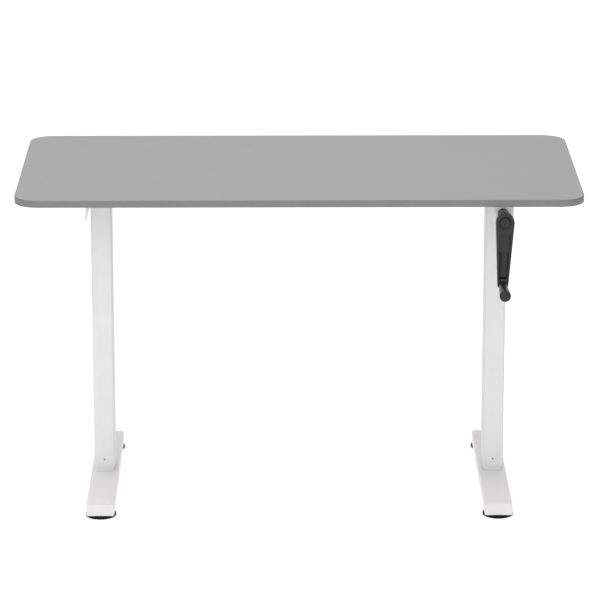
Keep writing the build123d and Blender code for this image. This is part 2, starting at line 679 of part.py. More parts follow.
# --- Gearboxes -------------------------------------------------------------------------------
BOX_BUSH_D = PINION_HUB_D + 2 * (BUSH_WALL + RUNNING_GAP)
BOX_WALL_INNER = PINION_REACH + TURN_GAP
SHAFT_BUSH_BORE = 2 * CROSS_SHAFT_AF / math.sqrt(3) + 2 * RUNNING_GAP
POCKET_FRONT = -(PINION_REACH + GEAR_ROOM)
INPUT_BUSH_D = INPUT_SHAFT_D + 2 * (BUSH_WALL + RUNNING_GAP)


def gearbox_block(side, z_low, z_high, cavity_top):
    """Casting between two heights, with the gears' room, the bushes' seats and the screw holes."""
    half_x = BOX_X / 2
    half_y = BOX_Y / 2
    body = rounded_bar(BOX_X, BOX_Y, BOX_CORNER_R, z_low, z_high)
    body -= rod_z(2 * CROWN_ROOM_R, COLUMN_TOP + BOX_FLOOR, cavity_top)
    body -= rod_z(SCREW_JOURNAL_D + 2 * HOLE_GAP, COLUMN_TOP, cavity_top)
    body -= rod_x(2 * PINION_ROOM_R, -BOX_WALL_INNER, 0, 0, SHAFT_Z)
    body -= rod_x(BOX_BUSH_D, -half_x, 0, 0, SHAFT_Z)
    if side == LEFT:
        body -= rod_x(BOX_BUSH_D, 0, half_x, 0, SHAFT_Z)
    else:
        body -= rod_y(2 * PINION_ROOM_R, POCKET_FRONT, 0, 0, SHAFT_Z)
        body -= rod_y(INPUT_BUSH_D, -half_y, 0, 0, SHAFT_Z)
    for x, y in corners(BOX_SCREW_X, BOX_SCREW_Y):
        body -= rod_z(BOX_SCREW_D + 2 * HOLE_GAP, z_low, z_high, x, y)
    return at_leg(side, body)


def gearbox_housing(side):
    """Lower half of a gearbox, from the column's top plate to the shafts' axis."""
    return gearbox_block(side, COLUMN_TOP, SHAFT_Z, SHAFT_Z)


def gearbox_cover(side):
    """Upper half of a gearbox, from the shafts' axis to the arm's web."""
    return gearbox_block(side, SHAFT_Z, WEB_BOTTOM, WEB_BOTTOM - BOX_ROOF)


def gearbox_screws():
    """Long countersunk screws from the arm's web through the gearbox into the column's plate."""
    screws = []
    low = COLUMN_TOP - BOX_SCREW_BITE
    middle = (WEB_BOTTOM + PANEL_BOTTOM) / 2
    for x, y in corners(BOX_SCREW_X, BOX_SCREW_Y):
        screw = Pos(x, y, middle) * Cone(BOX_SCREW_D / 2, BOX_SCREW_HEAD_D / 2, ARM_GAUGE)
        screws += at_both_legs(screw + rod_z(BOX_SCREW_D, low, WEB_BOTTOM, x, y))
    return screws


def pinion_bushes():
    """Bushes of the cross shaft: one round each pinion's hub, one round the bare shaft."""
    half = BOX_X / 2
    hub_bush = rod_x(BOX_BUSH_D, -half, -BOX_WALL_INNER, 0, SHAFT_Z)
    hub_bush -= rod_x(PINION_HUB_D + 2 * RUNNING_GAP, -half, -BOX_WALL_INNER, 0, SHAFT_Z)
    shaft_bush = rod_x(BOX_BUSH_D, CROWN_ROOM_R, half, 0, SHAFT_Z)
    shaft_bush -= rod_x(SHAFT_BUSH_BORE, CROWN_ROOM_R, half, 0, SHAFT_Z)
    return at_both_legs(hub_bush) + [at_leg(LEFT, shaft_bush)]


def input_shaft_bush():
    """Bush in the right gearbox's front wall for the crank's shaft."""
    bush = rod_y(INPUT_BUSH_D, -BOX_Y / 2, POCKET_FRONT, 0, SHAFT_Z)
    bush += rod_y(INPUT_BUSH_D + 2 * BUSH_WALL, -BOX_Y / 2 - BUSH_WALL, -BOX_Y / 2, 0, SHAFT_Z)
    bore_d = INPUT_SHAFT_D + 2 * RUNNING_GAP
    return at_leg(RIGHT, bush - rod_y(bore_d, -BOX_Y, 0, 0, SHAFT_Z))


# --- Cross shaft -----------------------------------------------------------------------------
CROSS_LEFT_END = -LEG_OFFSET - BOX_X / 2
CROSS_RIGHT_END = LEG_OFFSET - CONE_INNER_SHARE * CROWN_PITCH_R


def cross_shaft():
    """Hexagonal bar between the two gearboxes."""
    return hex_x(CROSS_SHAFT_AF, CROSS_LEFT_END, CROSS_RIGHT_END, 0, SHAFT_Z)


def cross_pinion(side):
    """Small bevel gear on the cross shaft, to the left of the crown gear that it drives."""
    half_pitch = 180 / PINION_TEETH
    gear = bevel_gear(PINION_TEETH, CROWN_TEETH, half_pitch, PINION_REACH)
    gear = Pos(0, 0, SHAFT_Z) * Rot(0, -90, 0) * gear
    gear += rod_x(PINION_HUB_D, -BOX_X / 2, -PINION_REACH, 0, SHAFT_Z)
    return at_leg(side, gear - hex_x(CROSS_SHAFT_AF, -BOX_X, 0, 0, SHAFT_Z))


def cross_shaft_collars():
    """Round collars clamped on the cross shaft inside the crossbeam's ends."""
    far = BEAM_END_X - CROSS_COLLAR_INSET
    collar = rod_x(SHAFT_COLLAR_D, far - SHAFT_COLLAR, far, 0, SHAFT_Z)
    collar -= hex_x(CROSS_SHAFT_AF, far - SHAFT_COLLAR, far, 0, SHAFT_Z)
    return mirrored_pair(collar)


# --- Crank -----------------------------------------------------------------------------------
def on_crank(piece):
    """A piece drawn with the crank's axis along Y at the origin, hanging straight down."""
    return Pos(LEG_OFFSET, 0, SHAFT_Z) * Rot(0, CRANK_TILT, 0) * piece


def crank_input_shaft():
    """Bar from the gearbox to the crank: spigot, round journal, then a hexagonal end."""
    spigot_front = POCKET_FRONT + GEAR_ROOM
    shaft = rod_y(INPUT_SPIGOT_D, spigot_front, -CONE_INNER_SHARE * CROWN_PITCH_R)
    shaft += rod_y(INPUT_SHAFT_D, DOME_FRONT - TURN_GAP, spigot_front)
    shaft += hex_y(DRIVE_HEX_AF, SOCKET_FRONT, DOME_FRONT - TURN_GAP)
    screw_hole_d = CRANK_SCREW_D + 2 * THREAD_GAP
    shaft -= rod_y(screw_hole_d, SOCKET_FRONT, SOCKET_FRONT + CRANK_SCREW_LENGTH)
    return on_crank(shaft)


def crank_pinion():
    """Small bevel gear on the crank's shaft, in front of the right crown gear."""
    gear = Rot(90, 0, 0) * bevel_gear(PINION_TEETH, CROWN_TEETH, 0, PINION_REACH)
    gear -= rod_y(INPUT_SPIGOT_D, -PINION_REACH, 0)
    return Pos(LEG_OFFSET, 0, SHAFT_Z) * gear


def crank_shaft_collar():
    """Collar clamped on the crank's shaft behind the hanger plate."""
    front = ARM_FRONT + BUSH_WALL + TURN_GAP
    collar = rod_y(SHAFT_COLLAR_D, front, front + SHAFT_COLLAR)
    return on_crank(collar - rod_y(INPUT_SHAFT_D, front, front + SHAFT_COLLAR))


def crank_bearing_bush():
    """Domed black bush in the hanger plate."""
    spigot_back = ARM_FRONT + BUSH_WALL
    dome = rod_y(BEARING_DOME_D, DOME_FRONT, HANGER_FRONT)
    dome = fillet(dome.edges().group_by(Axis.Y)[0], BEARING_DOME_R)
    bush = dome + rod_y(BEARING_SPIGOT_D, HANGER_FRONT, spigot_back)
    bush -= rod_y(INPUT_SHAFT_D + 2 * RUNNING_GAP, DOME_FRONT, spigot_back)
    return Pos(LEG_OFFSET, 0, SHAFT_Z) * bush


def arm_outline():
    """Front view of the crank's arm: a round hub that tapers to a square end."""
    hub_r = CRANK_HUB_D / 2
    tip_half = CRANK_TIP_WIDTH / 2
    slope = math.asin((hub_r - tip_half) / CRANK_END)
    side_x = hub_r * math.cos(slope)
    side_z = -hub_r * math.sin(slope)
    taper = Polyline(
        (-side_x, side_z),
        (side_x, side_z),
        (tip_half, -CRANK_END),
        (-tip_half, -CRANK_END),
        close=True,
    )
    return Circle(hub_r) + make_face(taper)


def crank_arm():
    """Moulded arm with a barrel behind its hub, a recess for the folded grip and a forked end."""
    arm = extrude(Plane.XZ * arm_outline(), CRANK_ARM_THICK)
    arm = Pos(0, CRANK_BACK, 0) * arm
    tips = arm.edges().filter_by(Axis.Y).group_by(Axis.Z)[0]
    arm = fillet(tips, CRANK_TIP_R)
    rims = arm.faces().sort_by(Axis.Y)[0].edges()
    arm = fillet(rims, CRANK_RIM_R)
    arm += rod_y(BARREL_D, CRANK_BACK, DOME_FRONT - TURN_GAP)

    arm -= hex_y(DRIVE_HEX_AF, SOCKET_FRONT, DOME_FRONT)
    arm -= rod_y(CRANK_SCREW_D + 2 * HOLE_GAP, CRANK_FRONT, SOCKET_FRONT)
    head_d = CRANK_SCREW_HEAD_D + 2 * HOLE_GAP
    seat_y = CRANK_FRONT + HUB_CAP_SEAT
    arm -= rod_y(head_d, CRANK_FRONT, seat_y + CRANK_SCREW_HEAD)
    arm -= rod_y(HUB_CAP_D, CRANK_FRONT, seat_y)
    arm -= rod_y(HUB_RING_D, CRANK_FRONT, CRANK_FRONT + HUB_RING_DEPTH)

    arm -= folded_grip_room()
    slot_half = FORK_SLOT / 2
    slot_back = CRANK_BACK - FORK_BACK_WALL
    slot_low = -CRANK_END - CUT_PAST
    arm -= block(-slot_half, slot_half, CRANK_FRONT - CUT_PAST, slot_back, slot_low, -FORK_TOP)
    arm -= rod_x(FOLD_PIN_D, -CRANK_TIP_WIDTH, CRANK_TIP_WIDTH, FOLD_PIN_Y, -FOLD_PIN_RADIUS)
    return on_crank(arm)


def folded_grip_room():
    """Room in the arm's face for the folded grip: a taper trough and a box for its fat end."""
    drop = CRANK_RADIUS - FOLD_PIN_RADIUS
    axis_y = FOLD_PIN_Y - drop
    root_z = -FOLD_PIN_RADIUS + (FOLD_PIN_Y - GRIP_ROOT)
    tip_z = -FOLD_PIN_RADIUS + (FOLD_PIN_Y - GRIP_TIP)
    trough = Cone(GRIP_ROOT_D / 2 + FOLDED_ROOM, GRIP_END_D / 2 + FOLDED_ROOM, tip_z - root_z)
    trough = Pos(0, axis_y, (root_z + tip_z) / 2) * trough
    depth = axis_y + GRIP_END_D / 2 + FOLDED_ROOM
    half = RECESS_WIDTH / 2
    recess = block(-half, half, CRANK_FRONT - CUT_PAST, depth, -RECESS_FAR, -RECESS_NEAR)
    recess = fillet(recess.edges().filter_by(Axis.Y), RECESS_CORNER_R)
    return trough + recess


def crank_hub_screw():
    """Screw that holds the crank on its shaft."""
    seat_y = CRANK_FRONT + HUB_CAP_SEAT
    head_back = seat_y + CRANK_SCREW_HEAD
    screw = rod_y(CRANK_SCREW_HEAD_D, seat_y, head_back)
    screw -= hex_y(CRANK_SCREW_HEX_AF, seat_y, seat_y + CRANK_SCREW_HEX_DEPTH)
    screw += rod_y(CRANK_SCREW_D, head_back, SOCKET_FRONT + CRANK_SCREW_LENGTH - CRANK_SCREW_END_GAP)
    return on_crank(screw)


def crank_hub_cap():
    """Round cap over the hub screw, with a dimple in its middle."""
    seat_y = CRANK_FRONT + HUB_CAP_SEAT
    front = seat_y - HUB_CAP_THICK
    cap = rod_y(HUB_CAP_D - 2 * WELD_GAP, front, seat_y)
    cap = fillet(cap.edges().group_by(Axis.Y)[0], HUB_CAP_EDGE_R)
    return on_crank(cap - rod_y(HUB_CAP_DIMPLE_D, front, front + HUB_CAP_DIMPLE))


def grip_fold_pin():
    """Cross pin in the arm's fork. The grip folds about it."""
    half = CRANK_TIP_WIDTH / 2 - FOLD_PIN_INSET
    return on_crank(rod_x(FOLD_PIN_D, -half, half, FOLD_PIN_Y, -FOLD_PIN_RADIUS))


def grip_knuckle():
    """Lug in the fork that joins the fold pin to the grip's spindle."""
    half = FORK_SLOT / 2 - KNUCKLE_SIDE_GAP
    pin_d = 2 * (FORK_EAR_R - TURN_GAP)
    knuckle = rod_x(pin_d, -half, half, FOLD_PIN_Y, -FOLD_PIN_RADIUS)
    front = CRANK_FRONT + TURN_GAP
    back = FOLD_PIN_Y + pin_d / 2
    knuckle += block(-half, half, front, back, -CRANK_RADIUS, -FOLD_PIN_RADIUS)
    knuckle += rod_y(2 * half, GRIP_ROOT + TURN_GAP, back, 0, -CRANK_RADIUS)
    hole_d = FOLD_PIN_D + 2 * RUNNING_GAP
    knuckle -= rod_x(hole_d, -half, half, FOLD_PIN_Y, -FOLD_PIN_RADIUS)
    return on_crank(knuckle - rod_y(SPINDLE_D, GRIP_ROOT, back, 0, -CRANK_RADIUS))


GRIP_CAP_BACK = GRIP_TIP + GRIP_CAP
SPINDLE_FRONT = GRIP_CAP_BACK + GRIP_CAP_PLUG + SPINDLE_END_GAP


def grip_spindle():
    """Steel pin with a head, which the grip turns on."""
    back = FOLD_PIN_Y + FORK_EAR_R - TURN_GAP
    spindle = rod_y(SPINDLE_D, SPINDLE_FRONT, back, 0, -CRANK_RADIUS)
    head_back = SPINDLE_FRONT + SPINDLE_HEAD
    spindle += rod_y(SPINDLE_HEAD_D, SPINDLE_FRONT, head_back, 0, -CRANK_RADIUS)
    return on_crank(spindle)


def grip_sleeve():
    """Hollow tapered grip that turns on the spindle."""
    length = GRIP_ROOT - GRIP_CAP_BACK
    sleeve = Rot(90, 0, 0) * Cone(GRIP_ROOT_D / 2, GRIP_END_D / 2, length)
    sleeve = Pos(0, (GRIP_ROOT + GRIP_CAP_BACK) / 2, -CRANK_RADIUS) * sleeve
    bore_d = SPINDLE_D + 2 * RUNNING_GAP
    sleeve -= rod_y(bore_d, GRIP_CAP_BACK, GRIP_ROOT, 0, -CRANK_RADIUS)
    room_back = SPINDLE_FRONT + SPINDLE_HEAD + TURN_GAP
    room_d = SPINDLE_HEAD_D + 2 * SLIDE_CLEARANCE
    sleeve -= rod_y(room_d, GRIP_CAP_BACK, room_back, 0, -CRANK_RADIUS)
    return on_crank(sleeve)


def grip_end_cap():
    """Rounded cap pressed in the end of the grip."""
    cap = rod_y(GRIP_END_D, GRIP_TIP, GRIP_CAP_BACK)
    cap = fillet(cap.edges().group_by(Axis.Y)[0], GRIP_CAP_EDGE_R)
    cap += rod_y(SPINDLE_HEAD_D + 2 * SLIDE_CLEARANCE, GRIP_CAP_BACK, GRIP_CAP_BACK + GRIP_CAP_PLUG)
    return on_crank(Pos(0, 0, -CRANK_RADIUS) * cap)


# --- Feet ------------------------------------------------------------------------------------
GLIDE_FRONT_Y = GLIDE_FRONT_INSET - FOOT_LENGTH / 2
GLIDE_REAR_Y = FOOT_LENGTH / 2 - GLIDE_REAR_INSET


def foot_beam():
    """Flat rectangular tube, with holes for the column's bolts and the glides' nuts."""
    half = FOOT_LENGTH / 2 - FOOT_CAP_FLANGE
    outside = RectangleRounded(FOOT_X, FOOT_HEIGHT, FOOT_CORNER_R)
    inside = RectangleRounded(FOOT_X - 2 * FOOT_WALL, FOOT_HEIGHT - 2 * FOOT_WALL, FOOT_CORNER_R / 2)
    beam = extrude(Plane.XZ * (outside - inside), 2 * half)
    beam = Pos(0, half, FOOT_BOTTOM + FOOT_HEIGHT / 2) * beam
    for x, y in corners(FOOT_BOLT_X, FOOT_BOLT_Y):
        beam -= rod_z(FOOT_BOLT_D + 2 * HOLE_GAP, FOOT_BOTTOM, FOOT_TOP, x, y)
    for y in (GLIDE_FRONT_Y, GLIDE_REAR_Y):
        beam -= rod_z(GLIDE_NUT_D, FOOT_BOTTOM, FOOT_BOTTOM + FOOT_WALL + CUT_PAST, 0, y)
    return beam


def foot_end_caps():
    """Plugs in the ends of both feet."""
    half = FOOT_LENGTH / 2
    flange = RectangleRounded(FOOT_X, FOOT_HEIGHT, FOOT_CORNER_R)
    inset = 2 * (FOOT_WALL + WELD_GAP)
    plug = RectangleRounded(FOOT_X - inset, FOOT_HEIGHT - inset, FOOT_CORNER_R / 2)
    cap = extrude(Plane.XZ * flange, FOOT_CAP_FLANGE)
    cap = fillet(cap.faces().sort_by(Axis.Y)[0].edges(), FOOT_CAP_EDGE_R)
    cap += Pos(0, FOOT_CAP_PLUG, 0) * extrude(Plane.XZ * plug, FOOT_CAP_PLUG)
    cap = Pos(0, FOOT_CAP_FLANGE - half, FOOT_BOTTOM + FOOT_HEIGHT / 2) * cap
    return [at_leg(side, turned * cap) for side in (LEFT, RIGHT) for turned in (Rot(), Rot(0, 0, 180))]


def column_base_plate():
    """Thick plate welded in the narrow tube's foot, tapped for the bolts from below."""
    size_x = INNER_X - 2 * (TUBE_WALL + WELD_GAP)
    size_y = INNER_Y - 2 * (TUBE_WALL + WELD_GAP)
    high = FOOT_TOP + BASE_PLATE_THICK
    plate = rounded_bar(size_x, size_y, INNER_CORNER_R - TUBE_WALL, FOOT_TOP, high)
    for x, y in corners(FOOT_BOLT_X, FOOT_BOLT_Y):
        plate -= rod_z(FOOT_BOLT_D + 2 * THREAD_GAP, FOOT_TOP, high, x, y)
    return plate


def foot_bolts():
    """Hexagon bolts up through the foot into the column's base plate."""
    bolts = []
    for x, y in corners(FOOT_BOLT_X, FOOT_BOLT_Y):
        bolt = hex_z(FOOT_BOLT_HEAD_AF, FOOT_BOTTOM - FOOT_BOLT_HEAD, FOOT_BOTTOM, x, y)
        bolt += rod_z(FOOT_BOLT_D, FOOT_BOTTOM, FOOT_TOP + BASE_PLATE_THICK, x, y)
        bolts += at_both_legs(bolt)
    return bolts


def glide():
    """Levelling glide: a disc with a notched rim, moulded on a threaded stud."""
    disc = rod_z(GLIDE_D, 0, GLIDE_HEIGHT)
    disc = fillet(disc.edges().group_by(Axis.Z)[-1], GLIDE_EDGE_R)
    notch = rod_z(GLIDE_NOTCH_D, 0, GLIDE_HEIGHT, GLIDE_D / 2 + GLIDE_NOTCH_OUT)
    disc -= [Rot(0, 0, index * 360 / GLIDE_TEETH) * notch for index in range(GLIDE_TEETH)]
    stud_top = FOOT_TOP - FOOT_WALL - GLIDE_STUD_TOP_GAP
    return disc + rod_z(GLIDE_STUD_D, GLIDE_HEIGHT, stud_top)


def glide_nuts():
    """Rivet nuts in the feet's lower walls."""
    nuts = []
    for y in (GLIDE_FRONT_Y, GLIDE_REAR_Y):
        nut = rod_z(GLIDE_NUT_D, FOOT_BOTTOM, FOOT_BOTTOM + GLIDE_NUT_LENGTH, 0, y)
        nut += rod_z(GLIDE_NUT_FLANGE_D, FOOT_BOTTOM - GLIDE_NUT_FLANGE, FOOT_BOTTOM, 0, y)
        bore_d = GLIDE_STUD_D + 2 * THREAD_GAP
        nut -= rod_z(bore_d, FOOT_BOTTOM - CUT_PAST, FOOT_BOTTOM + GLIDE_NUT_LENGTH, 0, y)
        nuts += at_both_legs(nut)
    return nuts


# --- All the pieces --------------------------------------------------------------------------
def all_pieces():
    """Every node of the desk, as name and solid or list of solids."""
    pieces = {
        "desktop_panel": desktop_panel(),
        "desktop_screws": desktop_screws(),
        "crank_hanger_plate": crank_hanger_plate(),
        "beam_brackets": mirrored_pair(beam_plate(BRACKET_OUTER_X)),
        "crossbeam_channel": crossbeam_channel(),
        "crossbeam_end_plates": mirrored_pair(beam_plate(END_PLATE_OUTER_X)),
        "crossbeam_bolts": crossbeam_bolts(),
        "crossbeam_nuts": crossbeam_nuts(),
        "column_top_plates": at_both_legs(column_top_plate()),
        "gearbox_screws": gearbox_screws(),
        "cross_shaft_bushes": pinion_bushes(),
        "input_shaft_bush": input_shaft_bush(),
        "lower_bushes": at_both_legs(lower_bush()),
        "bush_screws": bush_screws(),
        "crank_bearing_bush": crank_bearing_bush(),
        "cross_shaft": cross_shaft(),
        "cross_shaft_collars": cross_shaft_collars(),
        "crank_input_shaft": crank_input_shaft(),
        "crank_pinion": crank_pinion(),
        "crank_shaft_collar": crank_shaft_collar(),
        "crank_arm": crank_arm(),
        "crank_hub_cap": crank_hub_cap(),
        "crank_hub_screw": crank_hub_screw(),
        "grip_fold_pin": grip_fold_pin(),
        "grip_knuckle": grip_knuckle(),
        "grip_spindle": grip_spindle(),
        "grip_sleeve": grip_sleeve(),
        "grip_end_cap": grip_end_cap(),
        "foot_end_caps": foot_end_caps(),
        "column_base_plates": at_both_legs(column_base_plate()),
        "foot_bolts": foot_bolts(),
        "top_sliders": at_both_legs(top_slider()),
        "nut_plates": at_both_legs(nut_plate()),
        "drive_nuts": at_both_legs(drive_nut()),
        "drive_nut_screws": drive_nut_screws(),
        "glide_nuts": glide_nuts(),
    }
    for name, side in SIDES.items():
        pieces["support_arm_" + name] = support_arm(side)
        pieces["outer_tube_" + name] = at_leg(side, outer_tube())
        pieces["gearbox_housing_" + name] = gearbox_housing(side)
        pieces["gearbox_cover_" + name] = gearbox_cover(side)
        pieces["thrust_bearing_" + name] = [at_leg(side, part) for part in thrust_bearing()]
        pieces["lead_screw_" + name] = at_leg(side, lead_screw())
        pieces["crown_gear_" + name] = at_leg(side, crown_gear())
        pieces["cross_pinion_" + name] = cross_pinion(side)
        pieces["inner_tube_" + name] = at_leg(side, inner_tube())
        pieces["foot_beam_" + name] = at_leg(side, foot_beam())
        pieces["glide_front_" + name] = Pos(0, GLIDE_FRONT_Y, 0) * at_leg(side, glide())
        pieces["glide_rear_" + name] = Pos(0, GLIDE_REAR_Y, 0) * at_leg(side, glide())
    return pieces


def main():
    """Write one file for each piece, with the origin under the middle of the desk's outer box."""
    os.makedirs("parts", exist_ok=True)
    place = Pos(0, ORIGIN_SHIFT_Y, 0)
    for name, piece in all_pieces().items():
        solids = piece if isinstance(piece, list) else [piece]
        placed = [place * solid for part in solids for solid in part.solids()]
        shape = placed[0] if len(placed) == 1 else Compound(children=placed)
        export_step(shape, os.path.join("parts", name + ".step"))


main()
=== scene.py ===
"""Looks of a height adjustable desk with a hand crank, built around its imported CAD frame."""

import json
import logging
import math
from collections.abc import Callable
from dataclasses import dataclass, field
from enum import Enum

import bpy
from mathutils import Matrix, Vector

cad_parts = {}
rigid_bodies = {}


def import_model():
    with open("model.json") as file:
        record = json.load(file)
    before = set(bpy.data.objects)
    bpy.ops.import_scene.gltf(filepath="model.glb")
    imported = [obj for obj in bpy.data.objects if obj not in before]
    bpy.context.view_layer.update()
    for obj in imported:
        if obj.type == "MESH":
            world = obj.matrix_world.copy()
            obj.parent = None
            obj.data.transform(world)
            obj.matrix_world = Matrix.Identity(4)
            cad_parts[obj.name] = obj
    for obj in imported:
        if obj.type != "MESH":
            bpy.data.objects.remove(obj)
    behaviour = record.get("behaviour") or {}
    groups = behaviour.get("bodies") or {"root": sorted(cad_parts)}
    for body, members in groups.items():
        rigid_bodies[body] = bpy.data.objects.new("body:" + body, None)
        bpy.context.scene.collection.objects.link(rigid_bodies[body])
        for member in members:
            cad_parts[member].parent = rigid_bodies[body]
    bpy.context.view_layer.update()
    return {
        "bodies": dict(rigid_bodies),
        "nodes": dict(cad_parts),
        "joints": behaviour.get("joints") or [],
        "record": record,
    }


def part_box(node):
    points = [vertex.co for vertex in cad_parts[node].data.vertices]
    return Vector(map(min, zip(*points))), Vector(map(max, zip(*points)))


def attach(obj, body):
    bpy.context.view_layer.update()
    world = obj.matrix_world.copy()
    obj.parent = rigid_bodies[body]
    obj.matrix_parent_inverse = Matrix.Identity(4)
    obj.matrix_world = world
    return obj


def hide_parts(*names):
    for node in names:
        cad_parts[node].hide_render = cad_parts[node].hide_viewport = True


LOG = logging.getLogger("desk")
MM = 0.001
SHARP_ANGLE = math.radians(35)  # edges sharper than this stay sharp
SEAM_ANGLE = math.radians(0.5)
SAME_POINT = 1e-6
SAME_PLANE = 1e-5
FACES_AXIS = 0.9


class Along(Enum):
    """The axis that a bar, shaft or hole runs along."""

    X = 0
    Y = 1
    Z = 2


class Side(Enum):
    """Left or right leg, with the sign of its X coordinate."""

    LEFT = -1
    RIGHT = 1


# --- Materials -------------------------------------------------------------------------------
def to_linear(colour: str) -> tuple[float, float, float, float]:
    """Turn an sRGB hex value into a linear colour.

    Args:
        colour: Six hex digits, such as "AEAEAE".

    Returns:
        Red, green, blue and alpha, linear.
    """
    channels = [int(colour[i : i + 2], 16) / 255 for i in (0, 2, 4)]
    linear = [c / 12.92 if c <= 0.04045 else ((c + 0.055) / 1.055) ** 2.4 for c in channels]
    return (linear[0], linear[1], linear[2], 1.0)


def add_node(
    tree: bpy.types.NodeTree, kind: str, settings: dict | None = None, links: dict | None = None
) -> bpy.types.Node:
    """Add a shader node, set its values and link its inputs.

    Args:
        tree: The material's node tree.
        kind: The node's type, such as "ShaderNodeTexNoise".
        settings: Attribute names or input names, with their values.
        links: Input names, each with the output socket that feeds it.

    Returns:
        The new node.
    """
    node = tree.nodes.new(kind)
    for name, value in (settings or {}).items():
        if name in node.inputs:
            node.inputs[name].default_value = value
        else:
            setattr(node, name, value)
    for name, output in (links or {}).items():
        tree.links.new(output, node.inputs[name])
    return node


@dataclass(frozen=True)
class Finish:
    """A surface with a colour, a soft variation in tone and gloss, and a fine relief.

    The grain is the size of the relief's bumps. The cloud is the size of the tone's patches.
    """

    name: str
    colour: str
    shade: str
    roughness: float
    roughness_swing: float = 0.05
    metallic: float = 0.0
    ior: float = 1.5
    specular: float = 0.5
    grain_mm: float = 1.5
    relief_mm: float = 0.02
    cloud_mm: float = 60.0
    coat: float = 0.0
    stretch: tuple[float, float, float] = (1.0, 1.0, 1.0)

    def build(self) -> bpy.types.Material:
        """Make the material from its values, once, and return it."""
        if self.name in bpy.data.materials:
            return bpy.data.materials[self.name]
        material = bpy.data.materials.new(self.name)
        material.use_nodes = True
        tree = material.node_tree
        tree.nodes.clear()
        output = tree.nodes.new("ShaderNodeOutputMaterial")
        place = add_node(tree, "ShaderNodeTexCoord").outputs["Object"]
        place = add_node(
            tree, "ShaderNodeMapping", {"Scale": self.stretch}, {"Vector": place}
        ).outputs["Vector"]
        cloud = add_node(
            tree,
            "ShaderNodeTexNoise",
            {"Scale": 1 / (self.cloud_mm * MM), "Detail": 3.0, "Roughness": 0.55},
            {"Vector": place},
        ).outputs["Fac"]
        grain = self.relief(tree, place)
        tone = add_node(
            tree,
            "ShaderNodeMixRGB",
            {"Color1": to_linear(self.shade), "Color2": to_linear(self.colour)},
            {"Fac": self.spread(tree, cloud, 0.35, 0.65)},
        ).outputs["Color"]
        gloss = add_node(
            tree,
            "ShaderNodeMapRange",
            {
                "To Min": self.roughness - self.roughness_swing,
                "To Max": self.roughness + self.roughness_swing,
            },
            {"Value": grain},
        ).outputs["Result"]
        bump = add_node(
            tree,
            "ShaderNodeBump",
            {"Strength": 1.0, "Distance": self.relief_mm * MM},
            {"Height": grain},
        ).outputs["Normal"]
        shader = add_node(
            tree,
            "ShaderNodeBsdfPrincipled",
            {
                "Metallic": self.metallic,
                "IOR": self.ior,
                "Specular IOR Level": self.specular,
                "Coat Weight": self.coat,
                "Coat Roughness": 0.25,
            },
            {"Base Color": self.pattern(tree, place, tone), "Roughness": gloss, "Normal": bump},
        )
        tree.links.new(shader.outputs["BSDF"], output.inputs["Surface"])
        return material

    def spread(
        self, tree: bpy.types.NodeTree, value: bpy.types.NodeSocket, low: float, high: float
    ) -> bpy.types.NodeSocket:
        """Stretch a value between low and high over the whole range from 0 to 1."""
        settings = {"From Min": low, "From Max": high}
        return add_node(tree, "ShaderNodeMapRange", settings, {"Value": value}).outputs["Result"]

    def relief(
        self, tree: bpy.types.NodeTree, place: bpy.types.NodeSocket
    ) -> bpy.types.NodeSocket:
        """The relief's height: fine noise at the grain's size."""
        settings = {"Scale": 1 / (self.grain_mm * MM), "Detail": 2.0, "Roughness": 0.5}
        return add_node(tree, "ShaderNodeTexNoise", settings, {"Vector": place}).outputs["Fac"]

    def pattern(
        self,
        tree: bpy.types.NodeTree,
        place: bpy.types.NodeSocket,
        tone: bpy.types.NodeSocket,
    ) -> bpy.types.NodeSocket:
        """The colour that reaches the shader. A plain finish keeps its tone."""
        return tone


@dataclass(frozen=True)
class Laminate(Finish):
    """Melamine laminate: a printed decor of tiny specks under a fine pearl texture."""

    speck_mm: float = 0.9

    def pattern(
        self,
        tree: bpy.types.NodeTree,
        place: bpy.types.NodeSocket,
        tone: bpy.types.NodeSocket,
    ) -> bpy.types.NodeSocket:
        """Darken the tone a little at the decor's specks."""
        specks = add_node(
            tree,
            "ShaderNodeTexNoise",
            {"Scale": 1 / (self.speck_mm * MM), "Detail": 1.0},
            {"Vector": place},
        ).outputs["Fac"]
        amount = add_node(
            tree,
            "ShaderNodeMapRange",
            {"From Min": 0.62, "From Max": 0.75, "To Min": 0.0, "To Max": 0.10},
            {"Value": specks},
        ).outputs["Result"]
        return add_node(
            tree,
            "ShaderNodeMixRGB",
            {"Color2": to_linear("6F6F6F")},
            {"Fac": amount, "Color1": tone},
        ).outputs["Color"]


@dataclass(frozen=True)
class MouldedPlastic(Finish):
    """Injection-moulded plastic: the mould's spark-eroded grain, as small round pits."""

    def relief(
        self, tree: bpy.types.NodeTree, place: bpy.types.NodeSocket
    ) -> bpy.types.NodeSocket:
        """Round pits at the mould grain's size."""
        settings = {"Scale": 1 / (self.grain_mm * MM), "Randomness": 1.0}
        return add_node(tree, "ShaderNodeTexVoronoi", settings, {"Vector": place}).outputs[
            "Distance"
        ]


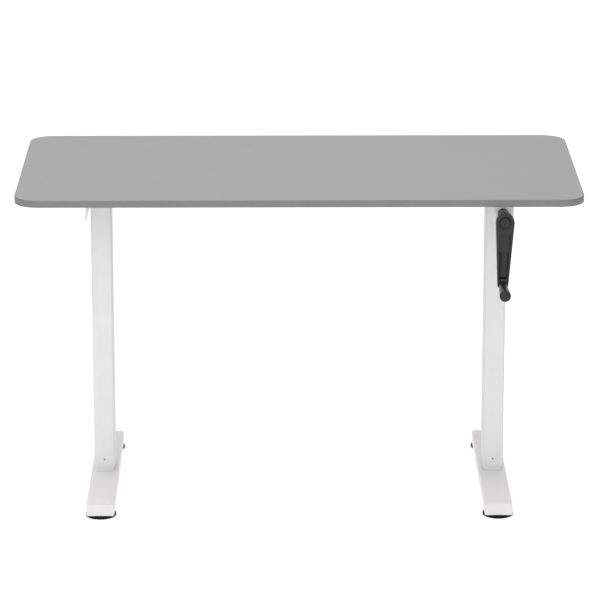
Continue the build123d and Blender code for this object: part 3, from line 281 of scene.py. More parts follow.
@dataclass(frozen=True)
class Finishes:
    """All the finishes of the desk."""

    # Melamine laminate, pressed in a pearl mould: matt, with an even grey decor.
    laminate: Finish = Laminate(
        "grey_melamine_laminate", "A4A4A4", "A3A3A3", 0.5, 0.05, grain_mm=1.1, relief_mm=0.015
    )
    # Edge band, ABS, coloured darker than the board that it goes round: painted shade on the
    # desktop's edges.
    edge_band_painted_shade: Finish = MouldedPlastic(
        "grey_abs_edge_band", "797979", "777777", 0.5, 0.05, grain_mm=0.8, relief_mm=0.01
    )
    # Polyester powder coat, sprayed and baked: satin, with a slight orange peel.
    powder_coat: Finish = Finish(
        "white_powder_coat", "DCDCDC", "D9D9D9", 0.42, 0.05, grain_mm=2.2, relief_mm=0.016
    )
    # Powder coat of the feet, coloured a lighter white than the columns': painted light, so that
    # the shaded feet keep their tone under the studio's light.
    powder_coat_feet_painted_light: Finish = Finish(
        "white_powder_coat_feet", "F8F5F6", "F5F2F3", 0.4, 0.05, grain_mm=2.2, relief_mm=0.016
    )
    # Powder coat on folded sheet, a little flatter.
    powder_coat_sheet: Finish = Finish(
        "white_powder_coat_sheet", "E0E0E0", "DCDCDC", 0.46, 0.05, grain_mm=1.8, relief_mm=0.02
    )
    # Polypropylene, moulded white: waxy and a little softer than the powder coat.
    white_plastic: Finish = MouldedPlastic(
        "white_polypropylene", "E1DFE0", "DDDBDC", 0.5, 0.04, grain_mm=0.9, relief_mm=0.01
    )
    # Glass-filled nylon, moulded black with a fine eroded grain: dull sheen on the edges.
    black_nylon: Finish = MouldedPlastic(
        "black_nylon",
        "1F1F20",
        "1A1A1B",
        0.38,
        0.06,
        specular=0.42,
        grain_mm=0.7,
        relief_mm=0.012,
        cloud_mm=25,
    )
    # Polypropylene, moulded black and dull: the glides and the crank's bearing bush.
    black_glide: Finish = MouldedPlastic(
        "black_polypropylene", "121213", "0E0E0F", 0.6, 0.06, specular=0.14, grain_mm=0.8
    )
    # Acetal, turned and left natural: smooth, a little grey.
    acetal: Finish = MouldedPlastic(
        "grey_acetal", "C4C4C3", "BEBEBD", 0.4, 0.04, grain_mm=0.8, relief_mm=0.006
    )
    # Mild steel, zinc plated and passivated: bright, with faint blue-grey clouds.
    zinc: Finish = Finish(
        "zinc_plated_steel",
        "C6C8CC",
        "B4B6BB",
        0.34,
        0.08,
        metallic=1.0,
        grain_mm=0.9,
        relief_mm=0.006,
        cloud_mm=9,
    )
    # Alloy steel, turned and oiled: dark, with fine rings across the bar. The lead screws, gears,
    # bearings and bush screws.
    turned_steel: Finish = Finish(
        "oiled_turned_steel",
        "8B8C8F",
        "77787C",
        0.3,
        0.06,
        metallic=1.0,
        grain_mm=0.8,
        relief_mm=0.008,
        cloud_mm=12,
        stretch=(1.0, 1.0, 4.0),
    )
    # Aluminium, pressure die-cast and shot blasted: light grey and frosted.
    cast_aluminium: Finish = Finish(
        "blasted_cast_aluminium",
        "BDBEC0",
        "AAABAE",
        0.55,
        0.07,
        metallic=1.0,
        grain_mm=0.7,
        relief_mm=0.03,
        cloud_mm=18,
    )
    # Tin bronze, turned: warm brown, with soft tool marks.
    bronze: Finish = Finish(
        "turned_bronze", "B58B57", "A17A4B", 0.34, 0.06, metallic=1.0, grain_mm=0.6, relief_mm=0.006
    )


FINISH = Finishes()


# --- Modelling helpers -----------------------------------------------------------------------
def start_fresh() -> None:
    """Leave edit mode and deselect everything."""
    if bpy.context.object and bpy.context.object.mode != "OBJECT":
        bpy.ops.object.mode_set(mode="OBJECT")
    bpy.ops.object.select_all(action="DESELECT")


def activate(piece: bpy.types.Object) -> None:
    """Make a piece the only selected and active object."""
    start_fresh()
    piece.select_set(True)
    bpy.context.view_layer.objects.active = piece


def name_new(name: str) -> bpy.types.Object:
    """Name the object that was just added, apply its place, and return it."""
    piece = bpy.context.object
    piece.name = name
    piece.data.name = name
    bpy.ops.object.transform_apply(location=True, rotation=True, scale=True)
    return piece


def add_box(name: str, low: Vector, high: Vector) -> bpy.types.Object:
    """Add a box between two corners.

    Args:
        name: The new object's name.
        low: Its lowest corner.
        high: Its highest corner.

    Returns:
        The new object, with its place in its mesh.
    """
    start_fresh()
    low, high = Vector(low), Vector(high)
    bpy.ops.mesh.primitive_cube_add(size=1, location=(low + high) / 2)
    bpy.context.object.scale = high - low
    return name_new(name)


TURN_TO = {
    Along.X: (0, math.pi / 2, 0),
    Along.Y: (math.pi / 2, 0, 0),
    Along.Z: (0, 0, 0),
}


def add_rod(
    name: str, centre: Vector, radius: float, length: float, along: Along, sides: int = 64
) -> bpy.types.Object:
    """Add a round bar.

    Args:
        name: The new object's name.
        centre: The bar's middle.
        radius: Its radius.
        length: Its length.
        along: The axis that it runs along.
        sides: The number of faces round it.

    Returns:
        The new object, with its place in its mesh.
    """
    start_fresh()
    bpy.ops.mesh.primitive_cylinder_add(
        vertices=sides, radius=radius, depth=length, location=centre, rotation=TURN_TO[along]
    )
    return name_new(name)


def turned(
    name: str,
    profile: list[tuple[float, float]],
    centre: Vector,
    along: Along,
    sides: int = 96,
) -> bpy.types.Object:
    """Turn a closed piece on a lathe: a disc that is extruded and resized step by step.

    Args:
        name: The new object's name.
        profile: Radius and distance along the axis of each step, from one end to the other.
        centre: The point that the distances are counted from.
        along: The axis. Distances grow towards it.
        sides: The number of faces round the piece.

    Returns:
        The new object, with its place in its mesh.
    """
    start_fresh()
    first_radius, first_along = profile[0]
    bpy.ops.mesh.primitive_circle_add(
        vertices=sides, radius=first_radius, fill_type="NGON", location=(0, 0, first_along)
    )
    piece = name_new(name)
    bpy.ops.object.mode_set(mode="EDIT")
    bpy.ops.mesh.select_mode(type="FACE")
    bpy.ops.mesh.select_all(action="SELECT")
    for (radius, place), (next_radius, next_place) in zip(profile, profile[1:]):
        bpy.ops.mesh.extrude_region_move(
            TRANSFORM_OT_translate={"value": (0, 0, next_place - place)}
        )
        scale = next_radius / radius
        bpy.ops.transform.resize(value=(scale, scale, 1), center_override=(0, 0, next_place))
    bpy.ops.mesh.select_all(action="SELECT")
    bpy.ops.mesh.normals_make_consistent(inside=False)
    bpy.ops.object.mode_set(mode="OBJECT")
    turn = {
        Along.X: Matrix.Rotation(math.pi / 2, 4, "Y"),
        Along.Y: Matrix.Rotation(-math.pi / 2, 4, "X"),
        Along.Z: Matrix.Identity(4),
    }[along]
    piece.data.transform(Matrix.Translation(centre) @ turn)
    piece.data.update()
    return piece


def apply_modifier(piece: bpy.types.Object, kind: str, **settings: object) -> None:
    """Add a modifier with its settings and apply it.

    Args:
        piece: The object.
        kind: The modifier's type, such as "BEVEL".
        settings: The modifier's attributes.
    """
    activate(piece)
    modifier = piece.modifiers.new(kind.lower(), kind)
    for name, value in settings.items():
        setattr(modifier, name, value)
    bpy.ops.object.modifier_apply(modifier=modifier.name)


def soften(piece: bpy.types.Object, width_mm: float, segments: int = 2) -> None:
    """Round every sharp edge of a piece a little."""
    apply_modifier(
        piece,
        "BEVEL",
        width=width_mm * MM,
        segments=segments,
        limit_method="ANGLE",
        angle_limit=SHARP_ANGLE,
        use_clamp_overlap=True,
        harden_normals=False,
    )


def cut(piece: bpy.types.Object, *tools: bpy.types.Object) -> None:
    """Cut tools out of a piece, and delete them."""
    for tool in tools:
        apply_modifier(piece, "BOOLEAN", operation="DIFFERENCE", object=tool, solver="EXACT")
        bpy.data.objects.remove(tool)


def join(piece: bpy.types.Object, *others: bpy.types.Object) -> None:
    """Fuse other solids into a piece, and delete them."""
    for other in others:
        apply_modifier(piece, "BOOLEAN", operation="UNION", object=other, solver="EXACT")
        bpy.data.objects.remove(other)


def merge_objects(name: str, objects: list[bpy.types.Object]) -> bpy.types.Object:
    """Join several objects into one mesh without changing their shapes.

    Args:
        name: The joined object's name.
        objects: The objects to join.

    Returns:
        The joined object.
    """
    start_fresh()
    for item in objects:
        item.select_set(True)
    bpy.context.view_layer.objects.active = objects[0]
    if len(objects) > 1:
        bpy.ops.object.join()
    joined = bpy.context.view_layer.objects.active
    joined.name = name
    joined.data.name = name
    return joined


def select_edges(piece: bpy.types.Object, wanted: Callable[[Vector, Vector], bool]) -> None:
    """In edit mode, select only the edges whose two ends pass a test.

    Args:
        piece: The object, in object mode.
        wanted: A function of the two end points that says whether the edge is wanted.
    """
    activate(piece)
    bpy.ops.object.mode_set(mode="EDIT")
    bpy.ops.mesh.select_mode(type="EDGE")
    bpy.ops.mesh.select_all(action="DESELECT")
    bpy.ops.object.mode_set(mode="OBJECT")
    points = piece.data.vertices
    for edge in piece.data.edges:
        a, b = (points[i].co for i in edge.vertices)
        edge.select = bool(wanted(a, b))
    bpy.ops.object.mode_set(mode="EDIT")


def select_points(piece: bpy.types.Object, wanted: Callable[[Vector], bool]) -> None:
    """In edit mode, select only the points that pass a test.

    Args:
        piece: The object, in object mode.
        wanted: A function of a point that says whether it is wanted.
    """
    activate(piece)
    bpy.ops.object.mode_set(mode="EDIT")
    bpy.ops.mesh.select_mode(type="VERT")
    bpy.ops.mesh.select_all(action="DESELECT")
    bpy.ops.object.mode_set(mode="OBJECT")
    for point in piece.data.vertices:
        point.select = bool(wanted(point.co))
    bpy.ops.object.mode_set(mode="EDIT")


def bevel_selected(radius: float, segments: int, clamp: bool = False) -> None:
    """Round the selected edges and leave edit mode."""
    bpy.ops.mesh.bevel(offset=radius, segments=segments, affect="EDGES", clamp_overlap=clamp)
    bpy.ops.object.mode_set(mode="OBJECT")


def round_long_edges(
    piece: bpy.types.Object, along: Along, radius: float, segments: int = 10
) -> None:
    """Round the edges of a box that run along one axis.

    Args:
        piece: A plain box.
        along: The axis.
        radius: The rounding's radius.
        segments: The number of faces across the rounding.
    """
    axis = along.value

    def runs_along(a: Vector, b: Vector) -> bool:
        """Say whether an edge runs along the axis."""
        step = b - a
        return abs(step[axis]) > 0.999 * step.length

    select_edges(piece, runs_along)
    bevel_selected(radius, segments, clamp=True)


def open_ends(piece: bpy.types.Object, along: Along) -> None:
    """Delete the faces at both ends of a bar.

    Args:
        piece: The bar.
        along: The axis that it runs along.
    """
    activate(piece)
    bpy.ops.object.mode_set(mode="EDIT")
    bpy.ops.mesh.select_mode(type="FACE")
    bpy.ops.mesh.select_all(action="DESELECT")
    bpy.ops.object.mode_set(mode="OBJECT")
    for face in piece.data.polygons:
        face.select = abs(face.normal[along.value]) > FACES_AXIS
    bpy.ops.object.mode_set(mode="EDIT")
    bpy.ops.mesh.delete(type="FACE")
    bpy.ops.object.mode_set(mode="OBJECT")


def hollow_bar(
    name: str,
    low: Vector,
    high: Vector,
    along: Along,
    radius: float,
    wall: float,
    lip: float = 0.25 * MM,
) -> bpy.types.Object:
    """Rectangular tube with rounded long edges and softened ends.

    Args:
        name: The new object's name.
        low: Its lowest corner.
        high: Its highest corner.
        along: The axis that it runs along.
        radius: The outside radius of its long edges.
        wall: The wall's thickness.
        lip: The rounding at both ends.

    Returns:
        The new object.
    """
    bar = add_box(name, low, high)
    round_long_edges(bar, along, radius)
    open_ends(bar, along)
    apply_modifier(bar, "SOLIDIFY", thickness=wall, offset=-1.0, use_even_offset=True)
    soften(bar, lip / MM)
    return bar


def finish_piece(
    piece: bpy.types.Object,
    finish: Finish,
    body: str,
    stands_for: tuple[str, ...] = (),
) -> bpy.types.Object:
    """Smooth a piece, dress it, and hang it on its CAD body.

    Args:
        piece: The object.
        finish: Its finish.
        body: The CAD body that it moves with.
        stands_for: The CAD nodes that it replaces.

    Returns:
        The same object.
    """
    activate(piece)
    bpy.ops.object.shade_smooth_by_angle(angle=SHARP_ANGLE)
    piece.data.materials.clear()
    piece.data.materials.append(finish.build())
    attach(piece, body)
    if stands_for:
        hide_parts(*stands_for)
    LOG.info("%s: %s on %s", piece.name, finish.name, body)
    return piece


def corners_of(node: str) -> tuple[Vector, Vector]:
    """A CAD node's lowest and highest corners."""
    low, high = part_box(node)
    return Vector(low), Vector(high)


def middle_of(node: str) -> Vector:
    """The middle of a CAD node's box."""
    low, high = corners_of(node)
    return (low + high) / 2


def both_sides(*parts: str) -> list[str]:
    """The left and right node names of some parts."""
    return [f"{part}_{side.name.lower()}" for part in parts for side in Side]


def clear_seams(piece: bpy.types.Object) -> None:
    """Merge doubled points and clear the seams in flat faces."""
    activate(piece)
    bpy.ops.object.mode_set(mode="EDIT")
    bpy.ops.mesh.select_all(action="SELECT")
    bpy.ops.mesh.remove_doubles(threshold=SAME_POINT)
    bpy.ops.mesh.dissolve_limited(angle_limit=SEAM_ANGLE)
    bpy.ops.object.mode_set(mode="OBJECT")


def softened_copy(
    node: bpy.types.Object, finish: Finish, body: str, width_mm: float = 0.4
) -> bpy.types.Object:
    """A pressed or cast piece from its CAD node, with its sharp edges broken.

    Args:
        node: The CAD node.
        finish: Its finish.
        body: The CAD body that it moves with.
        width_mm: The width of the broken edges.

    Returns:
        The new object.
    """
    name = node.name
    copy = node.copy()
    copy.data = node.data.copy()
    copy.name = name + "_softened"
    copy.data.name = copy.name
    bpy.context.scene.collection.objects.link(copy)
    world = node.matrix_world.copy()
    copy.parent = None
    copy.data.transform(world)
    copy.matrix_world = Matrix.Identity(4)
    activate(copy)
    if copy.data.has_custom_normals:
        bpy.ops.mesh.customdata_custom_splitnormals_clear()
    clear_seams(copy)
    soften(copy, width_mm)
    return finish_piece(copy, finish, body, (name,))


# --- Desktop ---------------------------------------------------------------------------------
@dataclass
class Desktop:
    """Laminated board with an edge band glued round it."""

    corner: float = 52 * MM
    band: float = 1.2 * MM
    band_gap: float = 0.02 * MM
    rim_round: float = 1.04 * MM
    rim_reach: float = 0.3 * MM
    glue_line: float = 0.12 * MM
    corner_faces: int = 24

    def build(self) -> None:
        """Build the board and its band."""
        low, high = corners_of("desktop_panel")
        inset = Vector((self.band, self.band, 0))
        board = add_box("desktop_board", low + inset, high - inset)
        round_long_edges(board, Along.Z, self.corner - self.band, self.corner_faces)
        soften(board, self.glue_line / MM, 1)
        finish_piece(board, FINISH.laminate, "lift_frame", ("desktop_panel",))

        band = add_box("desktop_edge_band", low, high)
        round_long_edges(band, Along.Z, self.corner, self.corner_faces)
        open_ends(band, Along.Z)
        apply_modifier(band, "SOLIDIFY", thickness=self.band - self.band_gap, offset=-1.0)
        self.round_rims(band, low, high)
        # The band's darker grey is painted shade on the desktop's edges.
        finish_piece(band, FINISH.edge_band_painted_shade, "lift_frame", ("desktop_panel",))

    def round_rims(self, band: bpy.types.Object, low: Vector, high: Vector) -> None:
        """Round the band's outer rims, above and below."""
        reach = Vector(((high.x - low.x) / 2, (high.y - low.y) / 2))
        centre = (low + high) / 2
        corner = self.corner

        def off_edge(point: Vector) -> float:
            """How far a point lies inside the outer outline."""
            x = abs(point.x - centre.x)
            y = abs(point.y - centre.y)
            past_x = x - (reach.x - corner)
            past_y = y - (reach.y - corner)
            if past_x > 0 and past_y > 0:
                return corner - math.hypot(past_x, past_y)
            return min(reach.x - x, reach.y - y)

        def on_rim(a: Vector, b: Vector) -> bool:
            """Say whether an edge lies on one of the two outer rims."""
            level = abs(a.z - b.z) < SAME_PLANE
            at_rim = min(abs(a.z - low.z), abs(a.z - high.z)) < SAME_PLANE
            return level and at_rim and max(off_edge(a), off_edge(b)) < self.rim_reach

        select_edges(band, on_rim)
        bevel_selected(self.rim_round, 4)


# --- Legs ------------------------------------------------------------------------------------
@dataclass
class Leg:
    """One T-shaped leg: wide tube over narrow tube on a foot with two glides."""

    side: Side
    wide_radius: float = 5 * MM
    narrow_radius: float = 3.5 * MM
    wall: float = 1.5 * MM
    foot_radius: float = 3.5 * MM
    foot_wall: float = 2 * MM
    screw_room: float = 0.08 * MM
    stud_hole: float = 5.5 * MM
    glide_teeth: int = 34
    tooth_faces: int = 6
    tooth_depth: float = 1.2 * MM
    rim_zone: float = 0.9 * MM

    @property
    def suffix(self) -> str:
        """The end of this leg's node names."""
        return self.side.name.lower()

    def build(self) -> None:
        """Build every visible piece of the leg."""
        self.wide_tube()
        self.narrow_tube()
        self.foot()
        for end in ("front", "rear"):
            self.glide(end)

    def wide_tube(self) -> None:
        """Wide column tube, with its screw hole near the mouth, front and back."""
        node = "outer_tube_" + self.suffix
        low, high = corners_of(node)
        tube = hollow_bar(node + "_coated", low, high, Along.Z, self.wide_radius, self.wall)
        screw_low, screw_high = corners_of("bush_screws")
        height = (screw_low.z + screw_high.z) / 2
        radius = (screw_high.z - screw_low.z) / 2 + self.screw_room
        centre = Vector(((low.x + high.x) / 2, (low.y + high.y) / 2, height))
        cut(tube, add_rod("drill", centre, radius, (high.y - low.y) * 1.2, Along.Y, 32))
        finish_piece(tube, FINISH.powder_coat, "lift_frame", (node,))

    def narrow_tube(self) -> None:
        """Narrow column tube."""
        node = "inner_tube_" + self.suffix
        low, high = corners_of(node)
        tube = hollow_bar(node + "_coated", low, high, Along.Z, self.narrow_radius, self.wall)
        finish_piece(tube, FINISH.powder_coat, "base", (node,))

    def foot(self) -> None:
        """Foot beam, a flat tube with drilled holes."""
        node = "foot_beam_" + self.suffix
        low, high = corners_of(node)
        beam = hollow_bar(node + "_coated", low, high, Along.Y, self.foot_radius, self.foot_wall)
        centre_x = (low.x + high.x) / 2
        for end in ("front", "rear"):
            place = middle_of(f"glide_{end}_{self.suffix}")
            spot = Vector((centre_x, place.y, low.z))
            cut(beam, add_rod("drill", spot, self.stud_hole, 4 * self.foot_wall, Along.Z, 48))
        # The feet's lighter white coat is painted light over the shade that falls on them.
        finish_piece(beam, FINISH.powder_coat_feet_painted_light, "base", (node,))

    def glide(self, end: str) -> None:
        """Levelling glide with a knurled rim and its stud."""
        node = f"glide_{end}_{self.suffix}"
        low, high = corners_of(node)
        radius = (high.y - low.y) / 2
        centre = Vector(((low.x + high.x) / 2, (low.y + high.y) / 2, low.z))
        profile = [
            (radius * 0.60, 0.8 * MM),
            (radius * 0.62, 0.0),
            (radius - 0.8 * MM, 0.0),
            (radius, 0.6 * MM),
            (radius, 5.0 * MM),
            (radius - 0.4 * MM, 5.7 * MM),
            (radius - 1.2 * MM, 6.0 * MM),
            (9 * MM, 6.0 * MM),
        ]
        sides = self.glide_teeth * self.tooth_faces
        disc = turned(node + "_moulded", profile, centre, Along.Z, sides)
        self.knurl(disc, centre, radius, sides)
        finish_piece(disc, FINISH.black_glide, node, (node,))
        stud_profile = [
            (3.4 * MM, 6.0 * MM),
            (4.0 * MM, 6.4 * MM),
            (4.0 * MM, high.z - low.z - 0.6 * MM),
            (3.4 * MM, high.z - low.z),
        ]
        stud = turned(node + "_stud", stud_profile, centre, Along.Z, 32)
        finish_piece(stud, FINISH.zinc, node, (node,))

    def knurl(self, disc: bpy.types.Object, centre: Vector, radius: float, sides: int) -> None:
        """Push grooves into the glide's rim between its teeth."""
        per_tooth = sides // self.glide_teeth

        def in_groove(point: Vector) -> bool:
            """Say whether a point of the rim lies in a groove."""
            flat = Vector((point.x - centre.x, point.y - centre.y))
            step = round(math.atan2(flat.y, flat.x) / (2 * math.pi) * sides)
            return flat.length > radius - self.rim_zone and step % per_tooth in (0, 1)

        select_points(disc, in_groove)
        shrink = 1 - self.tooth_depth / radius
        bpy.ops.transform.resize(value=(shrink, shrink, 1), center_override=centre)
        bpy.ops.object.mode_set(mode="OBJECT")


@dataclass
class FootCaps:
    """White plugs in the ends of the feet."""

    plug: float = 12 * MM
    flange: float = 2 * MM
    edge: float = 3.5 * MM
    rim: float = 1.0 * MM
    wall: float = 2.1 * MM
    plug_round: float = 1.6 * MM

    def build(self) -> None:
        """Build the four caps as one piece."""
        caps = []
        for suffix in ("left", "right"):
            low, high = corners_of("foot_beam_" + suffix)
            caps += [self.cap(low, high, low.y, -1), self.cap(low, high, high.y, 1)]
        joined = merge_objects("foot_end_caps_moulded", caps)
        finish_piece(joined, FINISH.white_plastic, "base", ("foot_end_caps",))

    def cap(self, low: Vector, high: Vector, end: float, outward: int) -> bpy.types.Object:
        """One cap: a flange with a rounded front, and a plug inside the tube.

        Args:
            low: The foot beam's lowest corner.
            high: Its highest corner.
            end: The Y coordinate of the tube's end.
            outward: The direction out of the tube, -1 or 1.

        Returns:
            The new object.
        """
        near, far = sorted((end, end + outward * self.flange))
        flange = add_box("foot_cap", (low.x, near, low.z), (high.x, far, high.z))
        round_long_edges(flange, Along.Y, self.edge)
        outer = far if outward > 0 else near

        def on_front(a: Vector, b: Vector) -> bool:
            """Say whether an edge lies on the cap's outer face."""
            return abs(a.y - outer) < SAME_PLANE and abs(b.y - outer) < SAME_PLANE

        select_edges(flange, on_front)
        bevel_selected(self.rim, 4)
        near, far = sorted((end, end - outward * self.plug))
        plug = add_box(
            "foot_plug",
            (low.x + self.wall, near, low.z + self.wall),
            (high.x - self.wall, far, high.z - self.wall),
        )
        round_long_edges(plug, Along.Y, self.plug_round, 4)
        return merge_objects("foot_cap", [flange, plug])


# --- Crank -----------------------------------------------------------------------------------
@dataclass
class Crank:
    """Moulded crank arm with its hub cap, fold knuckle and turning grip.

    Sizes are measured on the crank hanging straight down, with its hub axis along Y.
    """

    tilt: float = math.radians(1.3)
    hub_radius: float = 19.5 * MM
    tip_half: float = 11 * MM
    end: float = 140.5 * MM
    thick: float = 15 * MM
    barrel_radius: float = 12 * MM
    barrel_lap: float = 0.5 * MM
    tip_round: float = 4 * MM
    rim_mm: float = 1.7
    ring_radius: float = 14 * MM
    seat_depth: float = 2.5 * MM
    grip_drop: float = 136.5 * MM
    grip_radius: float = 12 * MM
    root_radius: float = 9 * MM
    pin_drop: float = 126 * MM
    pin_depth: float = 5.5 * MM
    boss_radius: float = 5.3 * MM
    slot_half: float = 8 * MM
    slot_top: float = 118 * MM
    recess_half: float = 11.8 * MM
    recess_near: float = 27 * MM
    recess_far: float = 68 * MM
    recess_depth: float = 7.6 * MM
    trough_radii: tuple[float, float] = (9.6 * MM, 11.6 * MM)
    arc_radii: tuple[float, float] = (16.4 * MM, 17.4 * MM)
    axis: Vector = field(default_factory=Vector)
    front: float = 0.0
    back: float = 0.0

    def build(self) -> None:
        """Build the visible pieces of the crank."""
        joint = next(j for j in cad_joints() if j["name"] == "crank_turn")
        self.axis = Vector(joint["pos_m"])
        low, _ = corners_of("crank_arm")
        self.front = low.y
        self.back = self.front + self.thick
        self.arm()
        self.hub_cap()
        self.bearing()
        self.knuckle()
        self.sleeve()
        self.end_cap()

    def at(self, x: float, y: float, z: float) -> Vector:
        """A point given from the hub's axis, before the crank is tilted."""
        return Vector((self.axis.x + x, y, self.axis.z + z))

    def tilted(self, piece: bpy.types.Object) -> bpy.types.Object:
        """Tilt a piece about the hub's axis to where the crank hangs."""
        activate(piece)
        bpy.ops.object.mode_set(mode="EDIT")
        bpy.ops.mesh.select_all(action="SELECT")
        bpy.ops.object.mode_set(mode="OBJECT")
        pivot = Matrix.Translation(self.axis)
        piece.data.transform(pivot @ Matrix.Rotation(self.tilt, 4, "Y") @ pivot.inverted())
        piece.data.update()
        return piece

    def arm(self) -> None:
        """The arm: tapered body, round hub, barrel, recesses and fork."""
        slope = math.asin((self.hub_radius - self.tip_half) / self.end)
        side_x = self.hub_radius * math.cos(slope)
        side_z = -self.hub_radius * math.sin(slope)
        low = self.at(-side_x, self.front, -self.end)
        high = self.at(side_x, self.back, side_z)
        arm = add_box("crank_arm_moulded", low, high)
        self.taper(arm, low.z, self.tip_half / side_x)
        hub_centre = self.at(0, (self.front + self.back) / 2, 0)
        join(arm, add_rod("hub", hub_centre, self.hub_radius, self.thick, Along.Y, 128))
        clear_seams(arm)
        self.round_tips(arm, low.z)
        soften(arm, self.rim_mm, 4)
        self.cut_recesses(arm)
        self.cut_hub(arm)
        self.cut_fork(arm)
        barrel_back = corners_of("crank_arm")[1].y
        barrel_length = barrel_back - self.back
        barrel_centre = self.at(0, self.back + barrel_length / 2 - self.barrel_lap, 0)
        barrel = add_rod(
            "barrel",
            barrel_centre,
            self.barrel_radius,
            barrel_length + 2 * self.barrel_lap,
            Along.Y,
            96,
        )
        soften(barrel, 0.8, 3)
        join(arm, barrel)
        finish_piece(
            self.tilted(arm), FINISH.black_nylon, "crank", ("crank_arm",)
        )

    def taper(self, arm: bpy.types.Object, floor: float, scale: float) -> None:
        """Narrow the arm towards its lower end."""
        select_points(arm, lambda point: point.z < floor + 1 * MM)
        bpy.ops.transform.resize(value=(scale, 1, 1), center_override=(self.axis.x, 0, floor))
        bpy.ops.object.mode_set(mode="OBJECT")

    def round_tips(self, arm: bpy.types.Object, floor: float) -> None:
        """Round the two lower corners of the arm, seen from the front."""

        def at_tip(a: Vector, b: Vector) -> bool:
            """Say whether an edge is one of the two lower corners."""
            runs_back = abs(abs(b.y - a.y) - self.thick) < SAME_PLANE
            return runs_back and a.z < floor + 1e-4 and b.z < floor + 1e-4

        select_edges(arm, at_tip)
        bevel_selected(self.tip_round, 6)

    def soft_box(
        self, x_half: float, depth: float, z_low: float, z_high: float, round_mm: float
    ) -> bpy.types.Object:
        """A cutter with rounded edges for a recess in the arm's face."""
        tool = add_box(
            "recess",
            self.at(-x_half, self.front - 4 * MM, z_low),
            self.at(x_half, self.front + depth, z_high),
        )
        soften(tool, round_mm, 4)
        return tool

    def cut_recesses(self, arm: bpy.types.Object) -> None:
        """The recess for the folded grip: a box for its fat end, a step and a round trough."""
        near, far = -self.recess_near, -self.recess_far
        cut(arm, self.soft_box(self.recess_half, self.recess_depth, far, near, 1.4))
        drop = self.grip_drop - self.pin_drop
        axis_y = self.front + self.pin_depth - drop
        root, tip = -self.pin_drop + 7.5 * MM, -self.recess_far + 8 * MM
        start_fresh()
        bpy.ops.mesh.primitive_cone_add(
            vertices=96,
            radius1=self.trough_radii[0],
            radius2=self.trough_radii[1],
            depth=tip - root,
            location=self.at(0, axis_y, (root + tip) / 2),
        )
        cut(arm, name_new("trough"))

    def cut_hub(self, arm: bpy.types.Object) -> None:
        """Round seat for the hub cap, a fine ring outside it and an arc under the ring."""
        depth = self.seat_depth
        centre = self.at(0, self.front + depth - 5 * MM, 0)
        seat = add_rod("seat", centre, self.ring_radius - 0.4 * MM, 10 * MM, Along.Y, 128)
        soften(seat, 0.3, 2)
        cut(arm, seat)
        face = self.at(0, self.front, 0)
        inner, outer = self.arc_radii
        groove = add_rod("groove", face, outer, 1.2 * MM, Along.Y, 128)
        core = add_rod("core", face, inner, 3 * MM, Along.Y, 128)
        cut(groove, core)
        upper = add_box(
            "upper",
            self.at(-30 * MM, self.front - 10 * MM, -12 * MM),
            self.at(30 * MM, self.front + 10 * MM, 30 * MM),
        )
        cut(groove, upper)
        cut(arm, groove)

    def cut_fork(self, arm: bpy.types.Object) -> None:
        """The slot between the fork's ears, open in front and below."""
        slot = add_box(
            "slot",
            self.at(-self.slot_half, self.front - 4 * MM, -self.end - 4 * MM),
            self.at(self.slot_half, self.back - 3.5 * MM, -self.slot_top),
        )
        soften(slot, 0.6, 2)
        cut(arm, slot)

    def hub_cap(self) -> None:
        """Cap over the hub's screw, with a raised rim and a dimple."""
        profile = [
            (2.2 * MM, -1.6 * MM),
            (3.0 * MM, -1.9 * MM),
            (3.3 * MM, -2.75 * MM),
            (3.6 * MM, -2.95 * MM),
            (8.0 * MM, -3.0 * MM),
            (8.3 * MM, -2.75 * MM),
            (8.9 * MM, -2.75 * MM),
            (9.2 * MM, -3.0 * MM),
            (10.4 * MM, -3.0 * MM),
            (10.85 * MM, -2.6 * MM),
            (10.9 * MM, 0.0),
        ]
        seat = self.at(0, self.front + 2.5 * MM, 0)
        cap = turned("crank_hub_cap_moulded", profile, seat, Along.Y, 128)
        finish_piece(cap, FINISH.black_nylon, "crank", ("crank_hub_cap",))

    def bearing(self) -> None:
        """Domed bearing bush in the hanger plate, bored for the crank's shaft."""
        low, high = corners_of("crank_bearing_bush")
        length = high.y - low.y
        profile = [
            (5.6 * MM, 0.0),
            (6.2 * MM, 0.01 * MM),
            (8.9 * MM, 0.25 * MM),
            (10.4 * MM, 1.0 * MM),
            (11.2 * MM, 2.2 * MM),
            (11.5 * MM, 3.6 * MM),
            (11.5 * MM, 7.7 * MM),
            (11.2 * MM, 8.0 * MM),
            (8.0 * MM, 8.01 * MM),
            (8.0 * MM, length),
        ]
        centre = Vector((self.axis.x, low.y, self.axis.z))
        bush = turned("crank_bearing_bush_moulded", profile, centre, Along.Y, 96)
        bore = Vector((self.axis.x, low.y + length / 2, self.axis.z))
        cut(bush, add_rod("bore", bore, 5.05 * MM, length * 1.4, Along.Y, 64))
        finish_piece(
            bush, FINISH.black_glide, "lift_frame", ("crank_bearing_bush",)
        )

    def knuckle(self) -> None:
        """Fold knuckle between the fork's ears, with a round collar for the grip."""
        half = self.slot_half - 0.3 * MM
        pin_y = self.front + self.pin_depth
        pin = self.at(0, pin_y, -self.pin_drop)
        boss = add_rod("knuckle", pin, self.boss_radius, 2 * half, Along.X)
        lug = add_box(
            "lug",
            self.at(-half, self.front + 0.2 * MM, -self.grip_drop),
            self.at(half, pin_y + self.boss_radius, -self.pin_drop),
        )
        collar_front = self.front - 1.8 * MM
        collar_back = pin_y + self.boss_radius
        collar = add_rod(
            "collar",
            self.at(0, (collar_front + collar_back) / 2, -self.grip_drop),
            half,
            collar_back - collar_front,
            Along.Y,
            64,
        )
        soften(collar, 0.5, 2)
        join(boss, lug, collar)
        cut(boss, add_rod("hole", pin, 2.05 * MM, 30 * MM, Along.X, 48))
        boss.name = "grip_knuckle_moulded"
        finish_piece(
            self.tilted(boss), FINISH.black_nylon, "grip_fold", ("grip_knuckle",)
        )

